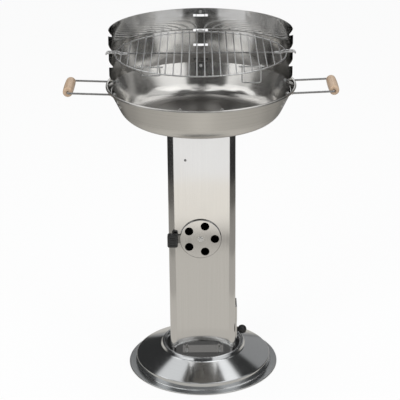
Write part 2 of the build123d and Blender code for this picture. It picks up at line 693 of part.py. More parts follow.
# Ash door: a shallow pan over the opening in the column's right wall, with the middle knuckle
with BuildPart() as ash_door:
    with BuildSketch(DOOR_PLANE.offset(LAP_GAP)):
        RectangleRounded(DOOR_W, DOOR_H, DOOR_ROUND)
    extrude(amount=DOOR_PROUD - LAP_GAP)
    with BuildSketch(DOOR_PLANE.offset(LAP_GAP)):
        RectangleRounded(DOOR_W - 2 * SHEET, DOOR_H - 2 * SHEET, DOOR_ROUND - SHEET)
    extrude(amount=DOOR_PROUD - LAP_GAP - SHEET, mode=Mode.SUBTRACT)
    with Locations((SIDE_X + DOOR_PROUD, HINGE_Y, DOOR_Z)):
        Box(SHEET, HINGE_OFFSET + SHEET, HINGE_KNUCKLE, align=(Align.MAX, Align.MAX, Align.CENTER))
    with Locations((HINGE_X, HINGE_Y, DOOR_Z)):
        Cylinder(HINGE_BARREL_R, HINGE_KNUCKLE)
        Cylinder(HINGE_PIN_R + RUN_GAP, HINGE_KNUCKLE, mode=Mode.SUBTRACT)
    with BuildSketch(BALL_PLANE):
        Circle(M4_R)
    extrude(amount=-2 * SHEET, mode=Mode.SUBTRACT)
save(ash_door.part, "ash_door")

# Hinge leaf riveted to the column, with the outer two knuckles and room for the door's knuckle
with BuildPart() as door_hinge_leaf:
    with Locations((SIDE_X, HINGE_Y, DOOR_Z)):
        Box(
            HINGE_LEAF_T,
            HINGE_LEAF_W,
            2 * HINGE_STEP + HINGE_KNUCKLE,
            align=(Align.MIN, Align.MIN, Align.CENTER),
        )
        Box(
            HINGE_LEAF_T,
            HINGE_BARREL_R + SWING_GAP,
            HINGE_KNUCKLE + 2 * HINGE_KNUCKLE_GAP,
            align=(Align.MIN, Align.MIN, Align.CENTER),
            mode=Mode.SUBTRACT,
        )
    with Locations(*[(HINGE_X, HINGE_Y, DOOR_Z + step) for step in (-HINGE_STEP, HINGE_STEP)]):
        Cylinder(HINGE_BARREL_R, HINGE_KNUCKLE)
        Cylinder(HINGE_PIN_R, HINGE_KNUCKLE, mode=Mode.SUBTRACT)
    for plane in HINGE_RIVET_PLANES:
        with BuildSketch(plane):
            Circle(RIVET_R)
    extrude(amount=-HINGE_LEAF_T, mode=Mode.SUBTRACT)
save(door_hinge_leaf.part, "door_hinge_leaf")

with BuildPart() as door_hinge_pin:
    with Locations((HINGE_X, HINGE_Y, DOOR_Z)):
        Cylinder(HINGE_PIN_R, 2 * HINGE_STEP + HINGE_KNUCKLE)
    for end in (-1, 1):
        with BuildSketch(Plane.XY.offset(DOOR_Z + end * (HINGE_STEP + HINGE_KNUCKLE / 2))):
            with Locations((HINGE_X, HINGE_Y)):
                Circle(HINGE_PIN_HEAD_R)
        extrude(amount=end * HINGE_PIN_HEAD_H)
save(door_hinge_pin.part, "door_hinge_pin")

with BuildPart() as door_hinge_rivets:
    for plane in HINGE_RIVET_PLANES:
        add(rivet(plane, HINGE_LEAF_T + SHEET, RIVET_R, RIVET_HEAD_R))
save(door_hinge_rivets.part, "door_hinge_rivets")

# Ball knob of the door and the screw that holds it from inside the pan
with BuildPart() as door_knob:
    with BuildSketch(BALL_PLANE):
        Circle(BALL_NECK_R)
    extrude(amount=BALL_NECK + BALL_R)
    with Locations(BALL_PLANE.offset(BALL_NECK + BALL_R).location):
        Sphere(BALL_R)
    with BuildSketch(BALL_PLANE):
        Circle(M4_R)
    extrude(amount=BALL_BORE, mode=Mode.SUBTRACT)
save(door_knob.part, "door_knob")

with BuildPart() as door_knob_screw:
    with BuildSketch(BALL_PLANE.offset(-SHEET)):
        Circle(M4_R)
    extrude(amount=SHEET + BALL_BORE)
    with BuildSketch(BALL_PLANE.offset(-SHEET)):
        Circle(M4_HEAD_R)
    extrude(amount=-M4_HEAD_H)
save(door_knob_screw.part, "door_knob_screw")

# Fire bowl: one spun sheet with a flat bottom, a round lower corner, a flank and a curled rim
with BuildPart() as fire_bowl:
    with BuildSketch(Plane.XZ):
        with BuildLine():
            wall = FilletPolyline((0, BOWL_BOTTOM), (BOWL_CORNER_R, BOWL_BOTTOM), WALL_TOP, radius=BOWL_ROUND)
            JernArc(start=wall @ 1, tangent=wall % 1, radius=CURL_R, arc_size=-RIM_CURL_ANGLE)
            offset(amount=SHEET, side=Side.LEFT)
        make_face()
    revolve(axis=Axis.Z)
    with Locations(*[(x, y, BOWL_BOTTOM + SHEET) for x, y in TOP_BOLTS]):
        Hole(radius=M5_R + HOLE_GAP, depth=2 * SHEET)
    with BuildSketch(Plane.XY.offset(BOWL_BOTTOM)):
        SlotOverall(DRAFT_W, DRAFT_D)
    extrude(amount=2 * SHEET, mode=Mode.SUBTRACT)
    for plane in LUG_BOLTS:
        with BuildSketch(plane.offset(SHEET)):
            Circle(M4_R + HOLE_GAP)
    extrude(amount=-3 * SHEET, mode=Mode.SUBTRACT)
    with BuildSketch(STRAP_FOOT_WALL.offset(SHEET)):
        Circle(STRAP_RIVET_R)
    extrude(amount=-3 * SHEET, mode=Mode.SUBTRACT)
    for side, y in HANDLE_RODS:
        with BuildSketch(Plane.YZ.offset(side * HANDLE_WALL_X)):
            with Locations((y, HANDLE_Z)):
                Circle(HANDLE_WIRE_R + HOLE_GAP)
    extrude(amount=HANDLE_COLLAR_SETBACK, both=True, mode=Mode.SUBTRACT)
save(fire_bowl.part, "fire_bowl")

# Charcoal plate: a perforated disc lying over the draught opening, inside the ring of bowl bolts
COAL_R = hypot(TOP_BOLT_X, TAB_BOLT_Y) - M5_WASHER_R - COAL_CLEAR
COAL_RING_STEP = (COAL_R - COAL_MARGIN) / COAL_RINGS
with BuildPart() as charcoal_plate:
    with BuildSketch(Plane.XY.offset(BOWL_BOTTOM + SHEET + COAL_GAP)):
        Circle(COAL_R)
        Circle(COAL_HOLE_R, mode=Mode.SUBTRACT)
        for ring in range(1, COAL_RINGS + 1):
            with PolarLocations(ring * COAL_RING_STEP, ring * COAL_RING_HOLES):
                Circle(COAL_HOLE_R, mode=Mode.SUBTRACT)
    extrude(amount=COAL_T)
save(charcoal_plate.part, "charcoal_plate")

# Windshield: a half-round sheet with sloping notches up both front edges, slots at the back, and
# lugs that run down inside the bowl's flank
NOTCH_OUT_Y = WIND_FRONT_Y - NOTCH_MOUTH_H
with BuildPart() as windshield:
    with BuildSketch(radial_plane(WIND_FRONT_ANGLE)):
        with Locations((WIND_R, WIND_BOTTOM)):
            Rectangle(SHEET, WIND_TOP - WIND_BOTTOM, align=(Align.MAX, Align.MIN))
    revolve(axis=Axis.Z, revolution_arc=180 - 2 * WIND_FRONT_ANGLE)
    for ledge in range(LEDGE_COUNT + 1):
        root_z = ledge_z(ledge, NOTCH_ROOT_Y)
        mouth_z = ledge_z(ledge, WIND_FRONT_Y) + NOTCH_MOUTH_H
        with BuildSketch(Plane.YZ):
            with BuildLine():
                Polyline(
                    (NOTCH_OUT_Y, ledge_z(ledge, NOTCH_OUT_Y)),
                    (NOTCH_ROOT_Y, root_z),
                    (NOTCH_ROOT_Y, root_z + NOTCH_ROOT_H),
                    (WIND_FRONT_Y, mouth_z),
                    (NOTCH_OUT_Y, mouth_z),
                    close=True,
                )
            make_face()
        extrude(amount=RIM_R, both=True, mode=Mode.SUBTRACT)
    with BuildSketch(Plane.YZ):
        with BuildLine():
            Polyline(
                (NOTCH_OUT_Y, WIND_BOTTOM - NOTCH_MOUTH_H),
                (NOTCH_ROOT_Y, WIND_BOTTOM - NOTCH_MOUTH_H),
                (NOTCH_ROOT_Y, ledge_z(LEDGE_COUNT, NOTCH_ROOT_Y) + NOTCH_ROOT_H),
                (NOTCH_OUT_Y, ledge_z(LEDGE_COUNT, NOTCH_OUT_Y) + NOTCH_ROOT_H),
                close=True,
            )
        make_face()
    extrude(amount=RIM_R, both=True, mode=Mode.SUBTRACT)
    with BuildSketch(Plane.XZ.offset(-RIM_R)):
        with Locations(*[(0, low) for low in SLOT_LOWS]):
            Rectangle(SLOT_W, SLOT_H, align=(Align.CENTER, Align.MIN))
    extrude(amount=2 * WIND_INSET, mode=Mode.SUBTRACT)
    for start in (-LUG_FRONT_ANGLE, 180 - LUG_ROOT_ANGLE):
        with BuildSketch(radial_plane(start)):
            Polygon(*flank_band(LUG_BOTTOM, LUG_TOP, 1, SHEET), align=None)
        revolve(axis=Axis.Z, revolution_arc=LUG_FRONT_ANGLE + LUG_ROOT_ANGLE)
    for start in (LUG_NECK_ANGLE, 180 - LUG_ROOT_ANGLE):
        with BuildSketch(radial_plane(start)):
            Polygon(*flank_band(LUG_TOP - SHEET, WIND_BOTTOM, 1, SHEET), align=None)
        revolve(axis=Axis.Z, revolution_arc=LUG_ROOT_ANGLE - LUG_NECK_ANGLE)
    with BuildSketch(radial_plane(90 - REAR_LUG_HALF_ANGLE)):
        Polygon(*flank_band(RIM_Z - REAR_LUG_DROP, WIND_BOTTOM, 1, SHEET), align=None)
    revolve(axis=Axis.Z, revolution_arc=2 * REAR_LUG_HALF_ANGLE)
    for plane in LUG_BOLTS:
        with BuildSketch(plane):
            Circle(M4_R + HOLE_GAP)
    extrude(amount=-4 * SHEET, mode=Mode.SUBTRACT)
    for plane, grip in ((STRAP_TOP_RIVET, STRAP_TOP_GRIP), (STRAP_FOOT_RIVET, STRAP_FOOT_GRIP)):
        with BuildSketch(plane):
            Circle(STRAP_RIVET_R)
        extrude(amount=-grip, mode=Mode.SUBTRACT)
save(windshield.part, "windshield")

# Strap down the inside of the windshield's back, windowed where the slots are, riveted at both ends
with BuildPart() as windshield_strap:
    with BuildSketch(radial_plane(90 - STRAP_HALF_ANGLE)):
        with Locations((STRAP_OUTER_R, STRAP_BOTTOM)):
            Rectangle(STRAP_T, WIND_TOP - STRAP_TOP_DROP - STRAP_BOTTOM, align=(Align.MAX, Align.MIN))
        Polygon(*flank_band(RIM_Z - REAR_LUG_DROP, STRAP_BOTTOM, 2, STRAP_T), align=None)
    revolve(axis=Axis.Z, revolution_arc=2 * STRAP_HALF_ANGLE)
    with BuildSketch(Plane.XZ.offset(-RIM_R)):
        with Locations(*[(0, low) for low in SLOT_LOWS]):
            Rectangle(STRAP_WINDOW_W, SLOT_H, align=(Align.CENTER, Align.MIN))
    extrude(amount=2 * WIND_INSET, mode=Mode.SUBTRACT)
    for plane, grip in ((STRAP_TOP_RIVET, STRAP_TOP_GRIP), (STRAP_FOOT_RIVET, STRAP_FOOT_GRIP)):
        with BuildSketch(plane):
            Circle(STRAP_RIVET_R)
        extrude(amount=-grip, mode=Mode.SUBTRACT)
save(windshield_strap.part, "windshield_strap")

with BuildPart() as strap_rivets:
    add(rivet(STRAP_TOP_RIVET, STRAP_TOP_GRIP, STRAP_RIVET_R, STRAP_RIVET_HEAD_R))
    add(rivet(STRAP_FOOT_RIVET, STRAP_FOOT_GRIP, STRAP_RIVET_R, STRAP_RIVET_HEAD_R))
save(strap_rivets.part, "strap_rivets")

# Bolts from outside the bowl through the windshield's front lugs, with nuts inside
LUG_NUT_DEPTH = 2 * SHEET + LAP_GAP + CURVE_GAP
with BuildPart() as windshield_bolts:
    for plane in LUG_BOLTS:
        add(button_bolt(plane, LUG_NUT_DEPTH + M4_NUT_H + BOLT_TAIL))
save(windshield_bolts.part, "windshield_bolts")

with BuildPart() as windshield_nuts:
    for plane in LUG_BOLTS:
        with BuildSketch(plane.offset(-LUG_NUT_DEPTH)):
            RegularPolygon(hexagon_radius(M4_FLATS), 6)
            Circle(M4_R, mode=Mode.SUBTRACT)
        extrude(amount=-M4_NUT_H)
save(windshield_nuts.part, "windshield_nuts")

# Grate: a wire ring with bars welded across its top and one stouter wire under them
with BuildPart() as grate_ring:
    with Locations((0, 0, RING_Z)):
        Torus(GRATE_R, GRATE_RING_WIRE_R)
save(grate_ring.part, "grate_ring")

with BuildPart() as grate_bars:
    for x in BAR_PLACES:
        with Locations(Location((x, 0, BAR_Z), (90, 0, 0))):
            Cylinder(GRATE_BAR_R, 2 * sqrt(GRATE_R**2 - x**2))
save(grate_bars.part, "grate_bars")

with BuildPart() as grate_cross_wire:
    with Locations(Location((0, 0, RING_Z), (0, 90, 0))):
        Cylinder(GRATE_RING_WIRE_R, 2 * (GRATE_R - GRATE_RING_WIRE_R - RUN_GAP))
save(grate_cross_wire.part, "grate_cross_wire")

# Side hooks: hairpins that start beside the cross wire, rise over the ring and bend down outside
# the windshield, so that one leg lies on a ledge and the other stands before the tooth
HOOK_ROOT_Y = GRATE_RING_WIRE_R + HOOK_WIRE_R + RUN_GAP
HOOK_KNEE_X = OUTER_BAR_X + GRATE_BAR_R + HOOK_WIRE_R
HOOK_LEG = [
    (HOOK_KNEE_X - HOOK_ROOT_LENGTH, HOOK_ROOT_Y, RING_Z),
    (HOOK_KNEE_X, HOOK_HALF_W, RING_Z),
    (GRATE_R - HOOK_RISE_INSET, HOOK_HALF_W, HOOK_Z),
    (WIND_R + HOOK_PAST_SHEET, HOOK_HALF_W, HOOK_Z),
    (WIND_R + HOOK_PAST_SHEET + HOOK_TIP, HOOK_HALF_W, HOOK_Z - HOOK_TIP),
]
HOOK_PATH = HOOK_LEG + [(x, -y, z) for x, y, z in reversed(HOOK_LEG)]
for name, side in SIDES:
    with BuildPart() as grate_hook:
        with BuildLine() as hook_path:
            FilletPolyline(*[(side * x, y, z) for x, y, z in HOOK_PATH], radius=HOOK_BEND)
        with BuildSketch(Plane(origin=hook_path.line @ 0, z_dir=hook_path.line % 0)):
            Circle(HOOK_WIRE_R)
        sweep()
    save(grate_hook.part, f"grate_hook_{name}")

# Rear hook: a loop of wire butted against the ring, reaching through the windshield's slot
REAR_HOOK_START_Y = GRATE_R + GRATE_RING_WIRE_R + RUN_GAP
REAR_HOOK_END_Y = WIND_R + REAR_HOOK_PAST_SHEET
with BuildPart() as grate_hook_rear:
    with BuildLine() as rear_path:
        FilletPolyline(
            (-REAR_HOOK_HALF_W, REAR_HOOK_START_Y, RING_Z),
            (-REAR_HOOK_HALF_W, REAR_HOOK_END_Y, RING_Z),
            (REAR_HOOK_HALF_W, REAR_HOOK_END_Y, RING_Z),
            (REAR_HOOK_HALF_W, REAR_HOOK_START_Y, RING_Z),
            radius=HOOK_BEND,
        )
    with BuildSketch(Plane(origin=rear_path.line @ 0, z_dir=rear_path.line % 0)):
        Circle(HOOK_WIRE_R)
    sweep()
save(grate_hook_rear.part, "grate_hook_rear")

# Short bars welded under the grate for the bails to turn on
with BuildPart() as bail_hinge_bars:
    for name, side in SIDES:
        middle = side * (BAIL_X0 + BAIL_X1) / 2
        with Locations(Location((middle, BAIL_BAR_Y, BAIL_BAR_Z), (0, 90, 0))):
            Cylinder(BAIL_BAR_R, BAIL_X1 - BAIL_X0 + 2 * BAIL_BAR_END)
save(bail_hinge_bars.part, "bail_hinge_bars")

# Bails: bent wires with an eye at each end, hanging on the bars, the left one swung back
for (name, side), swing in zip(SIDES, (BAIL_LEFT_ANGLE, BAIL_RIGHT_ANGLE)):
    turn = radians(swing)
    hang_plane = Plane(
        origin=(0, BAIL_BAR_Y, BAIL_BAR_Z), x_dir=(1, 0, 0), z_dir=(0, cos(turn), sin(turn))
    )
    with BuildPart() as bail:
        with BuildLine(hang_plane) as bail_path:
            FilletPolyline(
                (side * BAIL_X0, BAIL_EYE_R),
                (side * BAIL_X0, BAIL_DROP),
                (side * BAIL_X1, BAIL_DROP),
                (side * BAIL_X1, BAIL_EYE_R),
                radius=BAIL_BEND,
            )
        with BuildSketch(Plane(origin=bail_path.line @ 0, z_dir=bail_path.line % 0)):
            Circle(BAIL_WIRE_R)
        sweep()
        for x in (BAIL_X0, BAIL_X1):
            with Locations(Location((side * x, BAIL_BAR_Y, BAIL_BAR_Z), (0, 90, 0))):
                Torus(BAIL_EYE_R, BAIL_WIRE_R)
    save(bail.part, f"bail_{name}")

# Side handles: rods through the bowl's flank, each stopped by a collar, that rise a little to a wooden grip
GRIP_HALF_LENGTH = HANDLE_HALF_W - HANDLE_BEND - GRIP_END_GAP
for name, side in SIDES:
    with BuildPart() as handle_wire:
        with BuildLine() as rod_path:
            FilletPolyline(
                (side * (HANDLE_WALL_X - HANDLE_TAIL), -HANDLE_HALF_W, HANDLE_Z),
                (side * (HANDLE_WALL_X + HANDLE_KNEE), -HANDLE_HALF_W, HANDLE_Z),
                (side * HANDLE_X, -HANDLE_HALF_W, GRIP_Z),
                (side * HANDLE_X, HANDLE_HALF_W, GRIP_Z),
                (side * (HANDLE_WALL_X + HANDLE_KNEE), HANDLE_HALF_W, HANDLE_Z),
                (side * (HANDLE_WALL_X - HANDLE_TAIL), HANDLE_HALF_W, HANDLE_Z),
                radius=HANDLE_BEND,
            )
        with BuildSketch(Plane(origin=rod_path.line @ 0, z_dir=rod_path.line % 0)):
            Circle(HANDLE_WIRE_R)
        sweep()
        with BuildSketch(Plane.YZ.offset(side * (HANDLE_WALL_X + HANDLE_COLLAR_SETBACK))):
            with Locations((-HANDLE_HALF_W, HANDLE_Z), (HANDLE_HALF_W, HANDLE_Z)):
                Circle(HANDLE_COLLAR_R)
        extrude(amount=side * HANDLE_COLLAR_T)
    save(handle_wire.part, f"handle_wire_{name}")

    with BuildPart() as handle_grip:
        with BuildSketch(Plane.XZ):
            with Locations((side * HANDLE_X, GRIP_Z)):
                Circle(GRIP_R)
        extrude(amount=GRIP_HALF_LENGTH, both=True)
        fillet(handle_grip.edges(), GRIP_END_ROUND)
        with BuildSketch(Plane.XZ):
            with Locations((side * HANDLE_X, GRIP_Z)):
                Circle(HANDLE_WIRE_R + RUN_GAP)
        extrude(amount=GRIP_HALF_LENGTH, both=True, mode=Mode.SUBTRACT)
    save(handle_grip.part, f"handle_grip_{name}")

with BuildPart() as handle_nuts:
    for side, y in HANDLE_RODS:
        with BuildSketch(Plane.YZ.offset(side * (HANDLE_WALL_X - HANDLE_NUT_SETBACK))):
            with Locations((y, HANDLE_Z)):
                RegularPolygon(hexagon_radius(M5_FLATS), 6)
                Circle(HANDLE_WIRE_R, mode=Mode.SUBTRACT)
        extrude(amount=-side * M5_NUT_H)
save(handle_nuts.part, "handle_nuts")
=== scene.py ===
from math import pi, radians

import bmesh
import bpy
import numpy as np
from bpy.props import FloatProperty, FloatVectorProperty, IntProperty, PointerProperty
from mathutils import Matrix, Vector


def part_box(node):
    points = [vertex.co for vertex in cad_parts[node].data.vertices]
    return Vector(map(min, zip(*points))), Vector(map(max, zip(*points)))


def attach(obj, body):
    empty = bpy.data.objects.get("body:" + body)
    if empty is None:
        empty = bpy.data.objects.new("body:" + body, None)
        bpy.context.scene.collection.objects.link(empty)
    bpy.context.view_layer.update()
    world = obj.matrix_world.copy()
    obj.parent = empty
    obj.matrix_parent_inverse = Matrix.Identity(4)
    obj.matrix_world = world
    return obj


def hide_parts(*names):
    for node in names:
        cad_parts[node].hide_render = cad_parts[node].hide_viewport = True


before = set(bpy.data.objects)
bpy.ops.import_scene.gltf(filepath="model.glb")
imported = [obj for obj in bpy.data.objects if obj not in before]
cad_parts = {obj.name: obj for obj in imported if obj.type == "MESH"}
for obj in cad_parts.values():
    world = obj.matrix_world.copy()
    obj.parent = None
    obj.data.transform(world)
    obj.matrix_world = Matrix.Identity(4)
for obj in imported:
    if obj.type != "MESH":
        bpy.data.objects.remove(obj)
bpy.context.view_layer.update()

bl_info = {
    "name": "Column charcoal grill",
    "version": (1, 0, 0),
    "blender": (4, 5, 0),
    "location": "3D View > Sidebar > Grill",
    "description": "Finishes, turned grips, weld beads, threads and studio for the packed column grill",
    "category": "Object",
}

# Grids: points nearer than the merge distance become one, and steps along and round each shape
POLE_MERGE = 1e-6
TENT_STEPS = 64
THREAD_STEPS = 24
THREAD_SIDES = 6
BEAD_STEPS = 12
GRIP_STEPS = 41
GRIP_END_STEPS = 12

# The upright axis, and the coordinates that count in a distance: from an upright line, from a line that runs
# from front to back, and from a point
AXIS = (0.0, 0.0, 0.0)
LEVEL = (1.0, 1.0, 0.0)
FACE_ON = (1.0, 0.0, 1.0)
ALL_ROUND = (1.0, 1.0, 1.0)

# Patterns: the span that most of a noise's values lie in, and depths of relief in metres
NOISE_LOW, NOISE_HIGH = 0.3, 0.7
FINE_RELIEF = 0.0002
COARSE_RELIEF = 0.0003

# Steel sheet at full depth of its marks: change of roughness and tint either way, and strength of relief.
# Smears: size, span of the noise that shows, and change of roughness
MARK_ROUGHNESS = (0.25, 0.35)
MARK_TINT = (0.07, 0.05)
MARK_RELIEF = 0.05
SMEAR_SIZE = (14.0, 14.0, 14.0)
SMEAR_SPAN = (0.4, 0.75)
SMEAR_ROUGHNESS = (-0.015, 0.03)

# Soft boxes on the light tent: name, azimuth from the front and elevation from the bowl in degrees, strength.
# The dim level is the strength between them, and the soft edges are in the units of the patches
TENT_DIM = 0.035
TENT_SOFT = (3.0, 3.0)
TENT = (
    ("box_right", (24, 84), (28, 68), 1.25),
    ("box_right_core", (44, 80), (40, 62), 1.5),
    ("box_right_side", (84, 114), (26, 70), 0.8),
    ("box_right_low", (26, 62), (-8, 28), 0.6),
    ("box_left", (-120, -76), (29, 48), 1.4),
    ("box_left_front", (-84, -43), (30, 64), 1.25),
    ("box_left_core", (-82, -60), (40, 62), 1.5),
    ("box_left_low", (-84, -58), (-8, 30), 0.7),
    ("box_back_left", (-164, -116), (34, 62), 0.8),
    ("box_back_right", (118, 156), (46, 66), 1.1),
    ("wall_back_right", (136, 164), (-34, 22), 0.3),
    ("box_over_left", (-62, -22), (51, 84), 1.2),
    ("box_over", (-28, 24), (58, 78), 0.35),
    ("box_over_near_left", (-32, -12), (46, 64), 1.0),
    ("box_over_near_right", (6, 26), (46, 62), 0.8),
    ("box_over_right", (22, 44), (51, 82), 1.1),
    ("wall_front", (-26, 34), (10, 31), 0.13),
    ("wall_front_low", (-24, 30), (-8, 10), 0.3),
    ("backdrop_right", (160, 200), (11, 27), 0.85),
    ("backdrop_left", (-200, -160), (11, 27), 0.85),
    ("sweep_back_right", (164, 200), (-34, -6), 0.48),
    ("sweep_back_left", (-200, -164), (-34, -6), 0.48),
    ("sweep_left", (-80, -24), (-18, -7), 1.0),
    ("sweep_right", (24, 76), (-18, -7), 0.85),
    ("card_front", (-20, 20), (-34, -19), 1.0),
    ("ceiling", (-200, 200), (72, 100), 0.1),
)
# Painted light on the floor as polished metal sees it: a glow stronger near the object and weaker further out,
# with a brighter strip and a bright card before it. Name, azimuth from the front in degrees, distance in
# metres, strength
GROUND_DIM = 0.14
GROUND_SOFT = (3.0, 0.04)
GROUND = (
    ("lit_floor_near", (-200, 200), (-1.0, 0.55), 0.56),
    ("lit_floor", (-200, 200), (0.5, 0.85), 0.45),
    ("lit_floor_far", (-200, 200), (0.8, 1.25), 0.31),
    ("lit_floor_front", (-18, 18), (0.24, 0.9), 0.6),
    ("card_front", (-20, 20), (1.0, 4.0), 0.95),
)
# Lamps: name, place in metres, size in metres, power in watts; and the point that they shine at
LAMPS = (
    ("soft_left", (-1.7, -2.2, 2.4), 1.4, 34.0),
    ("soft_right", (2.0, -1.8, 2.2), 1.0, 16.0),
    ("soft_top", (0.0, 0.4, 3.2), 2.0, 22.0),
)
LAMP_AIM = Vector((0.0, 0.0, 0.6))


def colour(name, description, default):
    """A colour property."""
    return FloatVectorProperty(
        name=name, description=description, subtype="COLOR", size=3, min=0.0, max=1.0, default=default
    )


def factor(name, description, default):
    """A property between 0 and 1."""
    return FloatProperty(
        name=name, description=description, subtype="FACTOR", min=0.0, max=1.0, default=default
    )


def length(name, description, default):
    """A length property in metres."""
    return FloatProperty(
        name=name, description=description, unit="LENGTH", min=0.0, default=default, precision=5
    )


class GrillFinish(bpy.types.PropertyGroup):
    """Colours and polish of the grill's surfaces."""

    column_colour: colour("Column colour", "Polished sheet of the column", (0.76, 0.75, 0.735))
    column_roughness: factor("Column roughness", "Roughness of the column's sheet", 0.11)
    # The rosette's rolled edge is darkened with painted shade of this width
    rosette_edge_shade: length("Rosette edge", "Width of the rosette's darker rolled edge", 0.0022)
    foot_colour: colour("Foot colour", "Polished sheet of the foot", (0.73, 0.742, 0.748))
    foot_roughness: factor("Foot roughness", "Roughness of the foot", 0.12)
    flange_roughness: factor("Flange roughness", "Roughness of the foot's flange", 0.3)
    flange_width: length("Flange width", "Width of the foot's flange", 0.0195)
    # The floor of the foot's well is darkened with painted shade
    well_shade_colour: colour("Well colour", "Darker floor of the foot's well", (0.30, 0.30, 0.30))
    well_radius: length("Well radius", "Radius of the well's floor", 0.1)
    bowl_colour: colour("Bowl colour", "Sheet of the fire bowl", (0.77, 0.755, 0.725))
    bowl_roughness: factor("Bowl roughness", "Roughness of the bowl's outside", 0.30)
    # The bowl's floor is darkened with painted shade out to the floor radius, and dulled
    bowl_floor_shade_colour: colour("Bowl floor", "Darker sheet of the bowl's floor", (0.30, 0.29, 0.28))
    bowl_floor_roughness: factor("Bowl floor roughness", "Roughness of the bowl's floor", 0.36)
    bowl_floor_radius: length("Bowl floor radius", "Radius of the bowl's darker floor", 0.192)
    bowl_inside_roughness: factor("Bowl inside roughness", "Roughness of the bowl's inside", 0.15)
    shield_colour: colour("Windshield colour", "Sheet of the windshield", (0.78, 0.775, 0.765))
    shield_roughness: factor("Windshield roughness", "Roughness of the windshield", 0.11)
    wire_colour: colour("Wire colour", "Plated wire of the grate and bails", (0.88, 0.88, 0.875))
    rod_colour: colour("Rod colour", "Rods of the handles and the grate's cross wire", (0.48, 0.48, 0.48))
    wire_roughness: factor("Wire roughness", "Roughness of the plated wire", 0.32)
    fastener_colour: colour("Fastener colour", "Bolts, nuts, washers and rivets", (0.84, 0.84, 0.83))
    fastener_roughness: factor("Fastener roughness", "Roughness of the fasteners", 0.36)
    dark_rivet_colour: colour("Dark rivet", "Rivet in the column's front", (0.27, 0.27, 0.27))
    plate_colour: colour("Charcoal plate colour", "Perforated plate in the bowl", (0.34, 0.32, 0.30))
    beech_light: colour("Beech", "Early wood of the grips", (0.64, 0.475, 0.335))
    beech_dark: colour("Beech grain", "Late wood and flecks of the grips", (0.50, 0.35, 0.235))
    black: colour("Black plastic", "Knobs of the rosette and the ash door", (0.016, 0.016, 0.016))


class GrillGrip(bpy.types.PropertyGroup):
    """Shape of the turned wooden grips."""

    swell: length("Swell", "How much thinner the grip is at its ends than in the middle", 0.0011)
    end_round: length("End rounding", "Radius of the grip's rounded ends", 0.0052)
    bore: length("Bore", "Radius of the hole that the rod runs through", 0.00255)
    around: IntProperty(name="Facets around", description="Facets round the grip", default=96, min=12)


class GrillWire(bpy.types.PropertyGroup):
    """Weld beads of the grate and threads of the upright bolts."""

    bar_pitch: length("Bar pitch", "Distance from one bar of the grate to the next", 0.0188)
    bead_width: length("Bead width", "Half the width of a weld bead, along the ring", 0.0024)
    bead_length: length("Bead length", "Half the length of a weld bead, along the bar", 0.0019)
    bead_height: length("Bead height", "Half the height of a weld bead", 0.0010)
    bolt_radius: length("Bolt radius", "Radius of an upright bolt", 0.0025)
    washer_radius: length("Washer radius", "Radius of the washers round the bolts", 0.0055)
    thread_pitch: length("Thread pitch", "Rise of a bolt's thread in one turn", 0.0008)
    thread_depth: length("Thread depth", "Height of the thread's ridge", 0.00022)


class GrillStudio(bpy.types.PropertyGroup):
    """Camera, floor and light."""

    camera_place: FloatVectorProperty(
        name="Camera place", description="Where the camera stands", subtype="TRANSLATION",
        unit="LENGTH", size=3, default=(0.0, -3.280, 1.740),
    )
    camera_pitch: FloatProperty(
        name="Camera pitch", description="How far the camera looks down", subtype="ANGLE",
        default=radians(21.24),
    )
    camera_roll: FloatProperty(
        name="Camera roll", description="Lean of the picture", subtype="ANGLE", default=radians(-0.45)
    )
    sensor: FloatProperty(name="Sensor", description="Width of the sensor", unit="CAMERA", default=36.0)
    focal: FloatProperty(name="Focal length", description="Length of the lens", unit="CAMERA", default=121.6)
    shift: FloatProperty(
        name="Shift", description="Sideways shift of the picture", default=-0.0047, precision=4
    )
    tent_radius: length("Tent radius", "Radius of the light tent", 1.7)
    tent_height: length("Tent height", "Height of the light tent's middle", 0.8)
    tent_colour: colour("Tent colour", "Tint of the light tent", (0.99, 0.995, 1.0))
    floor_half: length("Floor", "Half the width of the floor", 12.0)
    floor_colour: colour("Floor colour", "Tint of the floor as polished metal sees it", (1.0, 0.965, 0.90))
    floor_paint: colour("Floor paint", "Floor as it lights the object", (0.85, 0.85, 0.85))
    floor_shadow: colour("Floor shadow", "Floor on which the camera sees the shadow", (0.95, 0.95, 0.95))
    floor_white: factor("Floor white", "Share of plain white in the floor that the camera sees", 0.91)
    sky_colour: colour("Sky colour", "Tint of the sky's light", (0.96, 0.98, 1.0))
    sky_strength: factor("Sky strength", "Strength of the sky's light", 0.55)
    white: colour("White", "Sky and floor as the camera sees them", (1.0, 1.0, 1.0))


def grid_mesh(name, points, wrap_u=True, wrap_v=True):
    """Mesh from a (copies, U, V, 3) array: each copy is a grid of quads, closed round U and V if asked, with
    its poles merged and its faces turned outward."""
    copies, count_u, count_v = points.shape[:3]
    u = np.arange(count_u if wrap_u else count_u - 1)
    v = np.arange(count_v if wrap_v else count_v - 1)
    iu, iv = np.meshgrid(u, v, indexing="ij")
    ju, jv = (iu + 1) % count_u, (iv + 1) % count_v
    corners = [iu * count_v + iv, ju * count_v + iv, ju * count_v + jv, iu * count_v + jv]
    starts = (np.arange(copies) * count_u * count_v).reshape(-1, 1, 1)
    quads = np.stack(corners, axis=-1).reshape(1, -1, 4) + starts
    mesh = bpy.data.meshes.new(name)
    mesh.from_pydata(points.reshape(-1, 3).tolist(), [], quads.reshape(-1, 4).tolist())
    skin = bmesh.new()
    skin.from_mesh(mesh)
    bmesh.ops.remove_doubles(skin, verts=skin.verts, dist=POLE_MERGE)
    bmesh.ops.recalc_face_normals(skin, faces=skin.faces)
    skin.to_mesh(mesh)
    skin.free()
    mesh.shade_smooth()
    return mesh


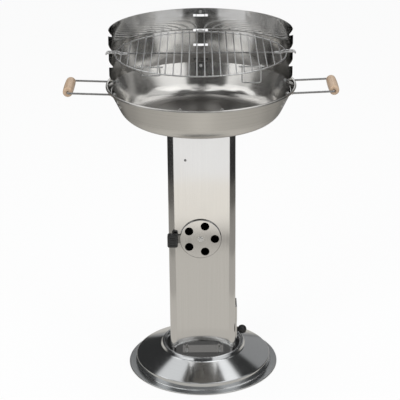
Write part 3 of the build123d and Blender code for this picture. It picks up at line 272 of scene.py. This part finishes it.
def new_object(mesh):
    """Object for a finished mesh, at the origin."""
    made = bpy.data.objects.new(mesh.name, mesh)
    bpy.context.scene.collection.objects.link(made)
    return made


def new_piece(mesh, material, body):
    """Piece of the grill with its material, riding on a body."""
    mesh.materials.append(material)
    piece = new_object(mesh)
    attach(piece, body)
    return piece


def dress(material, *nodes):
    """Gives CAD nodes a material."""
    for node in nodes:
        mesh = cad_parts[node].data
        mesh.materials.clear()
        mesh.materials.append(material)


def shade(base, amount=1.0):
    """A colour with an alpha of 1, made darker or lighter by an amount."""
    return (*(min(1.0, channel * amount) for channel in base), 1.0)


class NodeMaker:
    """Short ways to add nodes to a tree."""

    def __init__(self, tree):
        self.tree = tree

    def node(self, kind, inputs=None, **settings):
        """A node with its settings, and its inputs set to values or linked to sockets."""
        made = self.tree.nodes.new(kind)
        for key, value in settings.items():
            setattr(made, key, value)
        for key, value in (inputs or {}).items():
            if isinstance(value, bpy.types.NodeSocket):
                self.tree.links.new(value, made.inputs[key])
            else:
                made.inputs[key].default_value = value
        return made

    def math(self, operation, first, second=0.0):
        """A sum or another operation on one or two values."""
        return self.node("ShaderNodeMath", {0: first, 1: second}, operation=operation).outputs["Value"]

    def spread(self, value, low, high, start=NOISE_LOW, end=NOISE_HIGH, way="LINEAR"):
        """A value between a start and an end, mapped to a low and a high one."""
        return self.node(
            "ShaderNodeMapRange",
            {"Value": value, "From Min": start, "From Max": end, "To Min": low, "To Max": high},
            interpolation_type=way,
        ).outputs["Result"]

    def ease(self, value, start, end, low, high):
        """A value between a start and an end, mapped smoothly to a low and a high one."""
        return self.spread(value, low, high, start, end, way="SMOOTHSTEP")

    def window(self, value, ends, soft):
        """1 between two ends and 0 outside them, with soft edges."""
        return self.math(
            "MULTIPLY",
            self.ease(value, ends[0] - soft, ends[0] + soft, 0.0, 1.0),
            self.ease(value, ends[1] - soft, ends[1] + soft, 1.0, 0.0),
        )

    def bearing(self, split):
        """Azimuth in degrees from the front, counted to the right, of a split direction or place."""
        turn = self.math("ARCTAN2", split["X"], self.math("MULTIPLY", split["Y"], -1.0))
        return self.math("DEGREES", turn)

    def patches(self, rows, dim, first, second, soft):
        """The strongest of a dim level and of soft-edged patches over two values, each with its strength."""
        total = dim
        for name, first_ends, second_ends, strength in rows:
            patch = self.math(
                "MULTIPLY", self.window(first, first_ends, soft[0]), self.window(second, second_ends, soft[1])
            )
            part = self.math("MULTIPLY", patch, strength)
            part.node.name = name
            total = self.math("MAXIMUM", part, total)
        return total

    def mix(self, amount, first, second):
        """Two colours mixed."""
        return self.node("ShaderNodeMix", {0: amount, 6: first, 7: second}, data_type="RGBA").outputs[2]

    def tinted(self, pattern, base, darker, lighter):
        """A colour that a pattern makes darker here and lighter there."""
        return self.mix(self.spread(pattern, 0.0, 1.0), shade(base, darker), shade(base, lighter))

    def glow(self, base, strength):
        """Light of a colour and a strength."""
        light = self.node("ShaderNodeEmission", {"Color": shade(base), "Strength": strength})
        return light.outputs["Emission"]

    def blend(self, amount, first, second):
        """Two shaders mixed."""
        return self.node("ShaderNodeMixShader", {0: amount, 1: first, 2: second}).outputs["Shader"]

    def by_ray(self, plain, glossy, direct):
        """One shader for plain light, one for what polished surfaces see and one for what the camera sees."""
        path = self.node("ShaderNodeLightPath").outputs
        seen = self.math("MAXIMUM", path["Is Camera Ray"], path["Is Transmission Ray"])
        return self.blend(seen, self.blend(path["Is Glossy Ray"], plain, glossy), direct)


class Finish(NodeMaker):
    """A material being made: its shader and short ways to lead patterns into it."""

    def __init__(self, name, base, roughness, metallic=1.0):
        self.material = bpy.data.materials.new(name)
        self.material.use_nodes = True
        super().__init__(self.material.node_tree)
        self.shader = self.tree.nodes["Principled BSDF"]
        self.shader.inputs["Base Color"].default_value = (*base, 1.0)
        self.shader.inputs["Roughness"].default_value = roughness
        self.shader.inputs["Metallic"].default_value = metallic
        self.object_place = self.node("ShaderNodeTexCoord").outputs["Object"]

    def vector(self, operation, first, second=AXIS, output="Vector"):
        """An operation on one or two vectors."""
        return self.node("ShaderNodeVectorMath", {0: first, 1: second}, operation=operation).outputs[output]

    def split(self, place):
        """The three coordinates of a place."""
        return self.node("ShaderNodeSeparateXYZ", {"Vector": place}).outputs

    def noise(self, place, scale, detail):
        """Noise at a place."""
        cloud = self.node("ShaderNodeTexNoise", {"Vector": place, "Scale": scale, "Detail": detail})
        return cloud.outputs["Fac"]

    def centred(self, centre, keep):
        """Object place counted from a centre, with the unwanted axes flattened."""
        return self.vector("MULTIPLY", self.vector("SUBTRACT", self.object_place, centre), keep)

    def radius(self, centre, keep):
        """Distance from an axis through a centre."""
        return self.vector("LENGTH", self.centred(centre, keep), output="Value")

    def grain(self, stretch, detail=3.0):
        """Noise drawn out along the axes with a small stretch."""
        drawn = self.node("ShaderNodeMapping", {"Vector": self.object_place, "Scale": stretch})
        return self.noise(drawn.outputs["Vector"], 1.0, detail)

    def rings(self, centre, keep, pitch, waver):
        """Fine turning marks round an axis: noise of the radius, with a slow waver over the surface."""
        turns = self.math("MULTIPLY", self.radius(centre, keep), 1.0 / pitch)
        slow = self.noise(self.object_place, waver, 1.0)
        along = self.node("ShaderNodeCombineXYZ", {"X": turns, "Y": slow}).outputs["Vector"]
        return self.noise(along, 1.0, 2.0)

    def outward(self, middle, keep):
        """How far a surface faces away from a middle point or axis: below 0 on the inside of a shell."""
        facing = self.node("ShaderNodeTexCoord").outputs["Normal"]
        return self.vector("DOT_PRODUCT", facing, self.centred(middle, keep), output="Value")

    def lead(self, socket, name):
        """Links a socket to the shader."""
        self.tree.links.new(socket, self.shader.inputs[name])

    def led(self, name):
        """The socket that is linked to the shader so far."""
        return self.shader.inputs[name].links[0].from_socket

    def bump(self, height, strength, distance):
        """Relief from a height."""
        relief = self.node("ShaderNodeBump", {"Height": height, "Strength": strength, "Distance": distance})
        self.lead(relief.outputs["Normal"], "Normal")

    def shine(self, shader):
        """Shows another shader in place of the material's own."""
        self.tree.links.new(shader, self.tree.nodes["Material Output"].inputs["Surface"])
        self.material.cycles.emission_sampling = "NONE"


def sheet_steel(name, base, roughness, marks, depth):
    """Steel sheet: marks is a function that adds its fine marks to the finish, depth says how strongly they
    show, and slow smears dull it here and there."""
    finish = Finish(name, base, roughness)
    fine = marks(finish)
    slow = finish.grain(SMEAR_SIZE, detail=2.0)
    smoother, rougher = MARK_ROUGHNESS
    marked = finish.spread(fine, roughness * (1 - smoother * depth), roughness * (1 + rougher * depth))
    finish.lead(finish.math("ADD", marked, finish.spread(slow, *SMEAR_ROUGHNESS, *SMEAR_SPAN)), "Roughness")
    darker, lighter = MARK_TINT
    finish.lead(finish.tinted(fine, base, 1 - darker * depth, 1 + lighter * depth), "Base Color")
    finish.bump(fine, MARK_RELIEF * depth, FINE_RELIEF)
    return finish


class GRILL_OT_studio(bpy.types.Operator):
    """Pale floor, soft light and the camera of the picture"""

    bl_idname = "grill.studio"
    bl_label = "Studio"

    def execute(self, context):
        studio = context.scene.grill_studio
        self.floor(studio)
        self.tent(studio)
        self.sky(context.scene, studio)
        self.lamps(context.scene)
        self.camera(context.scene, studio)
        context.scene.view_settings.view_transform = "Standard"
        return {"FINISHED"}

    def floor(self, studio):
        """A flat square on the ground. The camera sees it white with a soft shadow, and polished metal sees it
        as a pale glow
        of painted light: stronger near the object, dimmer further out, and with a bright card before it."""
        half = studio.floor_half
        corners = np.linspace(-half, half, 2)
        x, y = np.meshgrid(corners, corners, indexing="ij")
        points = np.stack([x, y, np.zeros_like(x)], axis=-1)[None]
        mesh = grid_mesh("studio_floor", points, wrap_u=False, wrap_v=False)
        floor = new_object(mesh)

        finish = Finish("studio_floor", studio.floor_paint, 0.9, metallic=0.0)
        azimuth = finish.bearing(finish.split(finish.object_place))
        away = finish.radius(AXIS, LEVEL)
        level = finish.patches(GROUND, GROUND_DIM, azimuth, away, GROUND_SOFT)
        # Painted light: polished metal sees the floor as a glow, not as the floor lit by the lamps
        card = finish.glow(studio.floor_colour, level)
        white = finish.glow(studio.white, 1.0)
        plain = finish.node("ShaderNodeBsdfDiffuse", {"Color": shade(studio.floor_shadow)}).outputs["BSDF"]
        shown = finish.blend(studio.floor_white, plain, white)
        finish.shine(finish.by_ray(finish.shader.outputs["BSDF"], card, shown))
        mesh.materials.append(finish.material)

    def tent(self, studio):
        """A ball round the object that only polished metal sees, with soft boxes painted on a dim wall:
        x = radius cos u sin v, y = radius sin u sin v, z = height + radius cos v."""
        u = np.linspace(0.0, 2 * pi, TENT_STEPS, endpoint=False)[:, None]
        v = np.linspace(0.0, pi, TENT_STEPS // 2 + 1)
        ball = np.stack([np.cos(u) * np.sin(v), np.sin(u) * np.sin(v), np.cos(v) + 0 * u], axis=-1)
        centre = (0.0, 0.0, studio.tent_height)
        points = (np.array(centre) + studio.tent_radius * ball)[None]
        mesh = grid_mesh("studio_tent", points, wrap_v=False)
        tent = new_object(mesh)
        tent.visible_camera = False
        tent.visible_diffuse = False
        tent.visible_transmission = False
        tent.visible_shadow = False

        finish = Finish("studio_tent", (0.0, 0.0, 0.0), 1.0, metallic=0.0)
        split = finish.split(finish.centred(centre, ALL_ROUND))
        sine = finish.math("DIVIDE", split["Z"], studio.tent_radius)
        rise = finish.math("DEGREES", finish.math("ARCSINE", sine))
        level = finish.patches(TENT, TENT_DIM, finish.bearing(split), rise, TENT_SOFT)
        finish.shine(finish.glow(studio.tent_colour, level))
        mesh.materials.append(finish.material)

    def sky(self, scene, studio):
        """White for the camera and soft grey light for everything else."""
        world = bpy.data.worlds.new("studio_sky")
        world.use_nodes = True
        scene.world = world
        maker = NodeMaker(world.node_tree)
        world.node_tree.nodes.clear()
        plain, bright = (
            maker.node("ShaderNodeBackground", {"Color": shade(tint), "Strength": level}).outputs["Background"]
            for tint, level in ((studio.sky_colour, studio.sky_strength), (studio.white, 1.0))
        )
        output = maker.node("ShaderNodeOutputWorld")
        world.node_tree.links.new(maker.by_ray(plain, bright, bright), output.inputs["Surface"])

    def lamps(self, scene):
        """Two wide soft boxes before the object and one over it."""
        for name, place, size, power in LAMPS:
            lamp = bpy.data.lights.new(name, "AREA")
            lamp.size = size
            lamp.energy = power
            holder = bpy.data.objects.new(name, lamp)
            holder.location = place
            holder.visible_glossy = False
            holder.rotation_euler = (LAMP_AIM - Vector(place)).to_track_quat("-Z", "Y").to_euler()
            scene.collection.objects.link(holder)

    def camera(self, scene, studio):
        """The picture's own point of view."""
        lens = bpy.data.cameras.new("picture_camera")
        lens.sensor_width = studio.sensor
        lens.sensor_fit = "HORIZONTAL"
        lens.lens = studio.focal
        lens.shift_x = studio.shift
        holder = bpy.data.objects.new("picture_camera", lens)
        holder.matrix_world = (
            Matrix.Translation(studio.camera_place)
            @ Matrix.Rotation(pi / 2 - studio.camera_pitch, 4, "X")
            @ Matrix.Rotation(studio.camera_roll, 4, "Z")
        )
        scene.collection.objects.link(holder)
        scene.camera = holder


class GRILL_OT_column(bpy.types.Operator):
    """Polished sheet for the column, its back panel, the rosette and the ash door"""

    bl_idname = "grill.column"
    bl_label = "Column"

    BRUSHING = (700.0, 700.0, 5.0)
    BRUSHING_DEPTH = 0.3
    TURNING_PITCH = 0.0006
    TURNING_WAVER = 9.0
    TURNING_DEPTH = 0.5
    # Painted shade along the rosette's rolled edge: how softly it fades in and how dark it makes the edge
    EDGE_SOFT = 0.001
    EDGE_SHADE = 0.4
    # Painted shade inside the chimney: its colour, its roughness and how far a face must look inward for it
    CHIMNEY_SHADE_COLOUR = (0.05, 0.045, 0.04)
    CHIMNEY_DULL_ROUGHNESS = 0.75
    CHIMNEY_FACING = (-0.012, -0.004)

    def execute(self, context):
        finish = context.scene.grill_finish
        sheet = sheet_steel(
            "column_sheet", finish.column_colour, finish.column_roughness,
            lambda made: made.grain(self.BRUSHING), self.BRUSHING_DEPTH,
        )
        self.chimney_shade(sheet)
        dress(sheet.material, "column_shell", "column_back", "ash_door")
        dress(self.rosette(finish), "vent_disc")
        return {"FINISHED"}

    def chimney_shade(self, sheet):
        """Painted shade inside the chimney: dulls the faces that look into it and darkens them to near black.
        """
        inside = sheet.spread(sheet.outward(AXIS, LEVEL), 1.0, 0.0, *self.CHIMNEY_FACING)
        sheet.lead(sheet.mix(inside, sheet.led("Base Color"), shade(self.CHIMNEY_SHADE_COLOUR)), "Base Color")
        dull = sheet.math("MULTIPLY", inside, self.CHIMNEY_DULL_ROUGHNESS)
        sheet.lead(sheet.math("MAXIMUM", sheet.led("Roughness"), dull), "Roughness")

    def rosette(self, finish):
        """Turned sheet with painted shade along its rolled edge, centred on the rosette's round cap."""
        low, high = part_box("vent_disc")
        cap = (high.z - low.z) / 2
        centre = (high.x - cap, 0.0, (low.z + high.z) / 2)
        turned = sheet_steel(
            "rosette_sheet", finish.column_colour, finish.column_roughness,
            lambda made: made.rings(centre, FACE_ON, self.TURNING_PITCH, self.TURNING_WAVER),
            self.TURNING_DEPTH,
        )
        # Painted shade: the outer band of the rosette is mixed towards a darker colour
        edge = cap - finish.rosette_edge_shade
        rolled = turned.ease(turned.radius(centre, FACE_ON), edge, edge + self.EDGE_SOFT, 0.0, 1.0)
        dark = shade(finish.column_colour, self.EDGE_SHADE)
        turned.lead(turned.mix(rolled, turned.led("Base Color"), dark), "Base Color")
        return turned.material


class GRILL_OT_foot(bpy.types.Operator):
    """Bright spun sheet for the foot, with a duller flange and painted shade in its well"""

    bl_idname = "grill.foot"
    bl_label = "Foot"

    TURNING_PITCH = 0.0007
    TURNING_WAVER = 6.0
    TURNING_DEPTH = 0.6
    STEP_SOFT = 0.003
    WELL_SOFT = 0.004

    def execute(self, context):
        finish = context.scene.grill_finish
        sheet = sheet_steel(
            "foot_sheet", finish.foot_colour, finish.foot_roughness,
            lambda made: made.rings(AXIS, LEVEL, self.TURNING_PITCH, self.TURNING_WAVER), self.TURNING_DEPTH,
        )
        away = sheet.radius(AXIS, LEVEL)
        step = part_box("base_dish")[1].x - finish.flange_width
        flange = sheet.ease(away, step, step + self.STEP_SOFT, 0.0, 1.0)
        dull = sheet.math("MULTIPLY", flange, finish.flange_roughness)
        sheet.lead(sheet.math("MAXIMUM", sheet.led("Roughness"), dull), "Roughness")
        # Painted shade: the floor of the well, sunk under the column, is mixed towards a darker colour
        well = sheet.ease(away, finish.well_radius - self.WELL_SOFT, finish.well_radius, 1.0, 0.0)
        sheet.lead(sheet.mix(well, sheet.led("Base Color"), shade(finish.well_shade_colour)), "Base Color")
        dress(sheet.material, "base_dish")
        return {"FINISHED"}


class GRILL_OT_bowl(bpy.types.Operator):
    """Spun sheet for the fire bowl, satin outside and brighter inside, and the charcoal plate"""

    bl_idname = "grill.bowl"
    bl_label = "Fire bowl"

    TURNING_PITCH = 0.0008
    TURNING_WAVER = 5.0
    TURNING_ROUGHNESS = (-0.03, 0.04)
    TURNING_TINT = (0.97, 1.03)
    TURNING_RELIEF = 0.02
    MIDDLE_RISE = 0.1
    FACING = (-0.02, 0.02)
    FLOOR_SOFT = 0.02
    BLOTCHES = (60.0, 60.0, 60.0)
    BLOTCH_ROUGHNESS = (0.35, 0.6)
    BLOTCH_TINT = (0.7, 1.2)
    BLOTCH_RELIEF = 0.15

    def execute(self, context):
        finish = context.scene.grill_finish
        dress(self.bowl(finish), "fire_bowl")
        dress(self.plate(finish), "charcoal_plate")
        return {"FINISHED"}

    def bowl(self, finish):
        """Turning marks all over, a brighter inside and a duller floor, darkened with painted shade. Inside
        and outside are told apart by whether a face looks towards a point over the rim or away from it."""
        made = Finish("bowl_sheet", finish.bowl_colour, finish.bowl_roughness)
        fine = made.rings(AXIS, LEVEL, self.TURNING_PITCH, self.TURNING_WAVER)
        middle = (0.0, 0.0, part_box("fire_bowl")[1].z + self.MIDDLE_RISE)
        rough = made.spread(
            made.outward(middle, ALL_ROUND), finish.bowl_inside_roughness, finish.bowl_roughness, *self.FACING
        )
        # Painted shade on the bowl's floor, fading out towards the wall
        edge = finish.bowl_floor_radius
        wall = made.ease(made.radius(AXIS, LEVEL), edge - self.FLOOR_SOFT, edge, 0.0, 1.0)
        sheen = made.tinted(fine, finish.bowl_colour, *self.TURNING_TINT)
        made.lead(made.mix(wall, shade(finish.bowl_floor_shade_colour), sheen), "Base Color")
        dull = made.math("MAXIMUM", rough, made.spread(wall, finish.bowl_floor_roughness, 0.0, 0.0, 1.0))
        made.lead(made.math("ADD", dull, made.spread(fine, *self.TURNING_ROUGHNESS)), "Roughness")
        made.bump(fine, self.TURNING_RELIEF, FINE_RELIEF)
        return made.material

    def plate(self, finish):
        """Dull sheet with blotches."""
        made = Finish("plate_sheet", finish.plate_colour, self.BLOTCH_ROUGHNESS[0])
        blotch = made.grain(self.BLOTCHES, detail=5.0)
        made.lead(made.spread(blotch, *self.BLOTCH_ROUGHNESS), "Roughness")
        made.lead(made.tinted(blotch, finish.plate_colour, *self.BLOTCH_TINT), "Base Color")
        made.bump(blotch, self.BLOTCH_RELIEF, COARSE_RELIEF)
        return made.material


class GRILL_OT_windshield(bpy.types.Operator):
    """Bright sheet with level brushing for the windshield and its strap"""

    bl_idname = "grill.windshield"
    bl_label = "Windshield"

    BRUSHING = (4.0, 4.0, 650.0)
    BRUSHING_DEPTH = 0.6

    def execute(self, context):
        finish = context.scene.grill_finish
        sheet = sheet_steel(
            "shield_sheet", finish.shield_colour, finish.shield_roughness,
            lambda made: made.grain(self.BRUSHING), self.BRUSHING_DEPTH,
        )
        dress(sheet.material, "windshield", "windshield_strap")
        return {"FINISHED"}


class GRILL_OT_fasteners(bpy.types.Operator):
    """Plated bolts, nuts, washers, rivets and hinge, with threads on the bolts' ends"""

    bl_idname = "grill.fasteners"
    bl_label = "Fasteners"

    CLOUDS = (420.0, 420.0, 420.0)
    CLOUD_ROUGHNESS = (0.7, 1.5)
    CLOUD_TINT = (0.85, 1.08)
    CLOUD_RELIEF = 0.08
    SPECKS = (900.0, 900.0, 900.0)
    SPECK_ROUGHNESS = (0.3, 0.55)
    DARK_METAL = 0.6

    def execute(self, context):
        finish = context.scene.grill_finish
        plated = self.plated(finish)
        dress(
            plated,
            "column_rivets", "foot_bolts", "foot_washers", "foot_nuts", "bowl_bolts", "bowl_washers",
            "bowl_nuts", "vent_pivot", "vent_washer", "vent_knob_screw", "door_hinge_leaf", "door_hinge_pin",
            "door_hinge_rivets", "door_knob_screw", "strap_rivets", "windshield_bolts", "windshield_nuts",
            "handle_nuts",
        )
        dress(self.dark(finish), "column_front_rivet")
        for place in ("foot", "bowl"):
            mesh = self.threads(place, context.scene.grill_wire)
            new_piece(mesh, plated, "stand")
        return {"FINISHED"}

    def plated(self, finish):
        """Plated steel with fine clouds."""
        rough = finish.fastener_roughness
        made = Finish("plated_fastener", finish.fastener_colour, rough)
        cloud = made.grain(self.CLOUDS, detail=4.0)
        smooth, dull = self.CLOUD_ROUGHNESS
        made.lead(made.spread(cloud, rough * smooth, rough * dull), "Roughness")
        made.lead(made.tinted(cloud, finish.fastener_colour, *self.CLOUD_TINT), "Base Color")
        made.bump(cloud, self.CLOUD_RELIEF, FINE_RELIEF)
        return made.material

    def dark(self, finish):
        """Dark rivet with fine specks."""
        made = Finish("dark_rivet", finish.dark_rivet_colour, self.SPECK_ROUGHNESS[0], self.DARK_METAL)
        made.lead(made.spread(made.grain(self.SPECKS), *self.SPECK_ROUGHNESS), "Roughness")
        return made.material

    def threads(self, place, shape):
        """Threads on the four bolts' ends: a ridge carried up a helix round each bolt, at an angle u and a
        height of pitch * u / 2 pi, with a round section of radius depth that thins to a point at both
        ends."""
        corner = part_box(f"{place}_washers")[1]
        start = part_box(f"{place}_nuts")[1].z
        turns = int((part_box(f"{place}_bolts")[1].z - start) / shape.thread_pitch) - 1
        side = np.array([-1.0, 1.0])
        x, y = np.meshgrid(
            side * (corner.x - shape.washer_radius), side * (corner.y - shape.washer_radius), indexing="ij"
        )
        u = np.linspace(0.0, 2 * pi * turns, THREAD_STEPS * turns + 1)[:, None]
        v = np.linspace(0.0, 2 * pi, THREAD_SIDES, endpoint=False)
        depth = shape.thread_depth * np.clip(np.minimum(u, u[-1] - u) / pi, 0.0, 1.0)
        radius = shape.bolt_radius + depth * np.cos(v)
        rise = start + shape.thread_pitch * (u / (2 * pi) + 0.5) + depth * np.sin(v)
        ridge = np.stack([radius * np.cos(u), radius * np.sin(u), rise], axis=-1)
        centres = np.stack([x.ravel(), y.ravel(), np.zeros(x.size)], axis=-1)
        return grid_mesh(f"{place}_bolt_threads", centres[:, None, None] + ridge, wrap_u=False)


class GRILL_OT_wirework(bpy.types.Operator):
    """Plated wire for the grate, bails and handle rods, with weld beads where the bars cross the ring"""

    bl_idname = "grill.wirework"
    bl_label = "Wirework"

    CLOUDS = (160.0, 160.0, 160.0)
    CLOUD_ROUGHNESS = (0.7, 1.6)
    CLOUD_TINT = (0.9, 1.06)

    def execute(self, context):
        finish = context.scene.grill_finish
        plated = self.wire("plated_wire", finish.wire_colour, finish.wire_roughness)
        dress(
            plated,
            "grate_ring", "grate_bars", "grate_hook_left", "grate_hook_right", "grate_hook_rear",
            "bail_hinge_bars", "bail_left", "bail_right",
        )
        new_piece(self.beads(context.scene.grill_wire), plated, "cooking_grate")
        darker = self.wire("darker_rod", finish.rod_colour, finish.wire_roughness)
        dress(darker, "handle_wire_left", "handle_wire_right", "grate_cross_wire")
        return {"FINISHED"}

    def wire(self, name, base, roughness):
        """Plated wire with faint clouds."""
        made = Finish(name, base, roughness)
        cloud = made.grain(self.CLOUDS, detail=4.0)
        smooth, dull = self.CLOUD_ROUGHNESS
        made.lead(made.spread(cloud, roughness * smooth, roughness * dull), "Roughness")
        made.lead(made.tinted(cloud, base, *self.CLOUD_TINT), "Base Color")
        return made.material

    def beads(self, shape):
        """Weld beads where the bars lie on the ring and on the cross wire: flattened balls,
        x = width cos u sin v, y = length sin u sin v, z = height cos v."""
        low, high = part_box("grate_bars")
        bar = (high.z - low.z) / 2
        count = round((high.x - low.x - 2 * bar) / shape.bar_pitch) + 1
        across = np.linspace(low.x + bar, high.x - bar, count)
        ring_low, ring_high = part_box("grate_ring")
        wire = (ring_high.z - ring_low.z) / 2
        reach = np.sqrt((ring_high.x - wire) ** 2 - across**2)
        y = np.stack([-reach, 0 * reach, reach])
        centres = np.stack([across + 0 * y, y, ring_high.z + 0 * y], axis=-1).reshape(-1, 1, 1, 3)
        u = np.linspace(0.0, 2 * pi, BEAD_STEPS, endpoint=False)[:, None]
        v = np.linspace(0.0, pi, BEAD_STEPS // 2 + 1)
        ball = np.stack(
            [
                shape.bead_width * np.cos(u) * np.sin(v),
                shape.bead_length * np.sin(u) * np.sin(v),
                shape.bead_height * np.cos(v) + 0 * u,
            ],
            axis=-1,
        )
        return grid_mesh("grate_weld_beads", centres + ball, wrap_v=False)


class GRILL_OT_knobs(bpy.types.Operator):
    """Moulded black plastic for the rosette's and the door's knob"""

    bl_idname = "grill.knobs"
    bl_label = "Knobs"

    SPECKS = (1500.0, 1500.0, 1500.0)
    SPECK_ROUGHNESS = (0.26, 0.42)
    SPECK_RELIEF = 0.08
    CLOUDS = (90.0, 90.0, 90.0)
    CLOUD_TINT = (0.8, 1.5)

    def execute(self, context):
        base = context.scene.grill_finish.black
        moulded = Finish("black_plastic", base, self.SPECK_ROUGHNESS[0], metallic=0.0)
        speck = moulded.grain(self.SPECKS, detail=2.0)
        moulded.lead(moulded.spread(speck, *self.SPECK_ROUGHNESS), "Roughness")
        moulded.lead(moulded.tinted(moulded.grain(self.CLOUDS), base, *self.CLOUD_TINT), "Base Color")
        moulded.bump(speck, self.SPECK_RELIEF, FINE_RELIEF)
        dress(moulded.material, "vent_knob", "door_knob")
        return {"FINISHED"}


class GRILL_OT_grips(bpy.types.Operator):
    """Turned beech grips on the side handles"""

    bl_idname = "grill.grips"
    bl_label = "Wooden grips"

    GRAIN = (170.0, 9.0, 170.0)
    GRAIN_AMOUNT = 0.85
    FLECKS = (900.0, 90.0, 900.0)
    FLECK_AMOUNT = 0.45
    FLECK_SPAN = (0.58, 0.72)
    FLECK_ROUGHNESS = (0.38, 0.55)
    FLECK_RELIEF = 0.12
    VARNISH = 0.25
    VARNISH_ROUGHNESS = 0.2

    def execute(self, context):
        shape = context.scene.grill_grip
        material = self.beech(context.scene.grill_finish)
        for side in ("left", "right"):
            node = f"handle_grip_{side}"
            low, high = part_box(node)
            mesh = self.turned(f"beech_grip_{side}", low, high, shape)
            piece = new_piece(mesh, material, "stand")
            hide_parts(node)
        return {"FINISHED"}

    def turned(self, name, low, high, shape):
        """Profile carried round the rod: radius = full radius - swell * (2y / length)^2 between quarter-round
        ends of the rounding radius, closed by end faces and the bore."""
        middle = (low + high) / 2
        full = (high.z - low.z) / 2
        half = (high.y - low.y) / 2
        end = shape.end_round
        straight = np.linspace(-half + end, half - end, GRIP_STEPS)
        barrel = full - shape.swell * (straight / half) ** 2
        arc = np.linspace(0.0, pi / 2, GRIP_END_STEPS, endpoint=False)
        left = np.stack(
            [-half + end * (1 - np.sin(arc)), barrel[0] - end * (1 - np.cos(arc))], axis=-1
        )[::-1]
        right = left[::-1] * np.array([-1.0, 1.0])
        outer = np.concatenate([left, np.stack([straight, barrel], axis=-1), right])
        inner = np.array([[half, shape.bore], [-half, shape.bore]])
        profile = np.concatenate([outer, inner])
        turn = np.linspace(0.0, 2 * pi, shape.around, endpoint=False)
        along, radius = profile[:, 0][:, None], profile[:, 1][:, None]
        points = np.stack(
            [
                middle.x + radius * np.cos(turn),
                middle.y + along + 0 * turn,
                middle.z + radius * np.sin(turn),
            ],
            axis=-1,
        )[None]
        return grid_mesh(name, points)

    def beech(self, finish):
        """Pale wood with grain and short flecks along the grip, under a thin varnish."""
        wood = Finish("beech", finish.beech_light, self.FLECK_ROUGHNESS[0], metallic=0.0)
        wood.shader.inputs["Coat Weight"].default_value = self.VARNISH
        wood.shader.inputs["Coat Roughness"].default_value = self.VARNISH_ROUGHNESS
        fleck = wood.grain(self.FLECKS, detail=1.0)
        amount = wood.math(
            "ADD",
            wood.spread(wood.grain(self.GRAIN, detail=5.0), 0.0, self.GRAIN_AMOUNT),
            wood.spread(fleck, 0.0, self.FLECK_AMOUNT, *self.FLECK_SPAN),
        )
        wood.lead(wood.mix(amount, shade(finish.beech_light), shade(finish.beech_dark)), "Base Color")
        wood.lead(wood.spread(fleck, *self.FLECK_ROUGHNESS), "Roughness")
        wood.bump(fleck, self.FLECK_RELIEF, COARSE_RELIEF)
        return wood.material


class GRILL_PT_panel(bpy.types.Panel):
    """The grill's finishes and making, in the sidebar"""

    bl_idname = "GRILL_PT_panel"
    bl_label = "Column grill"
    bl_space_type = "VIEW_3D"
    bl_region_type = "UI"
    bl_category = "Grill"

    def draw(self, context):
        for operator in OPERATORS:
            self.layout.operator(operator.bl_idname)
        for group in SETTINGS:
            settings = getattr(context.scene, group)
            box = self.layout.box()
            for key in settings.bl_rna.properties.keys():
                if key not in ("rna_type", "name"):
                    box.prop(settings, key)


SETTINGS = {
    "grill_finish": GrillFinish,
    "grill_grip": GrillGrip,
    "grill_wire": GrillWire,
    "grill_studio": GrillStudio,
}
OPERATORS = (
    GRILL_OT_studio,
    GRILL_OT_column,
    GRILL_OT_foot,
    GRILL_OT_bowl,
    GRILL_OT_windshield,
    GRILL_OT_fasteners,
    GRILL_OT_wirework,
    GRILL_OT_knobs,
    GRILL_OT_grips,
)


def register():
    for cls in (*SETTINGS.values(), *OPERATORS, GRILL_PT_panel):
        bpy.utils.register_class(cls)
    for group, cls in SETTINGS.items():
        setattr(bpy.types.Scene, group, PointerProperty(type=cls))


def unregister():
    for group in SETTINGS:
        delattr(bpy.types.Scene, group)
    for cls in (GRILL_PT_panel, *reversed(OPERATORS), *SETTINGS.values()):
        bpy.utils.unregister_class(cls)


def main():
    register()
    for operator in OPERATORS:
        group, name = operator.bl_idname.split(".")
        getattr(getattr(bpy.ops, group), name)()


if __name__ == "__main__":
    main()
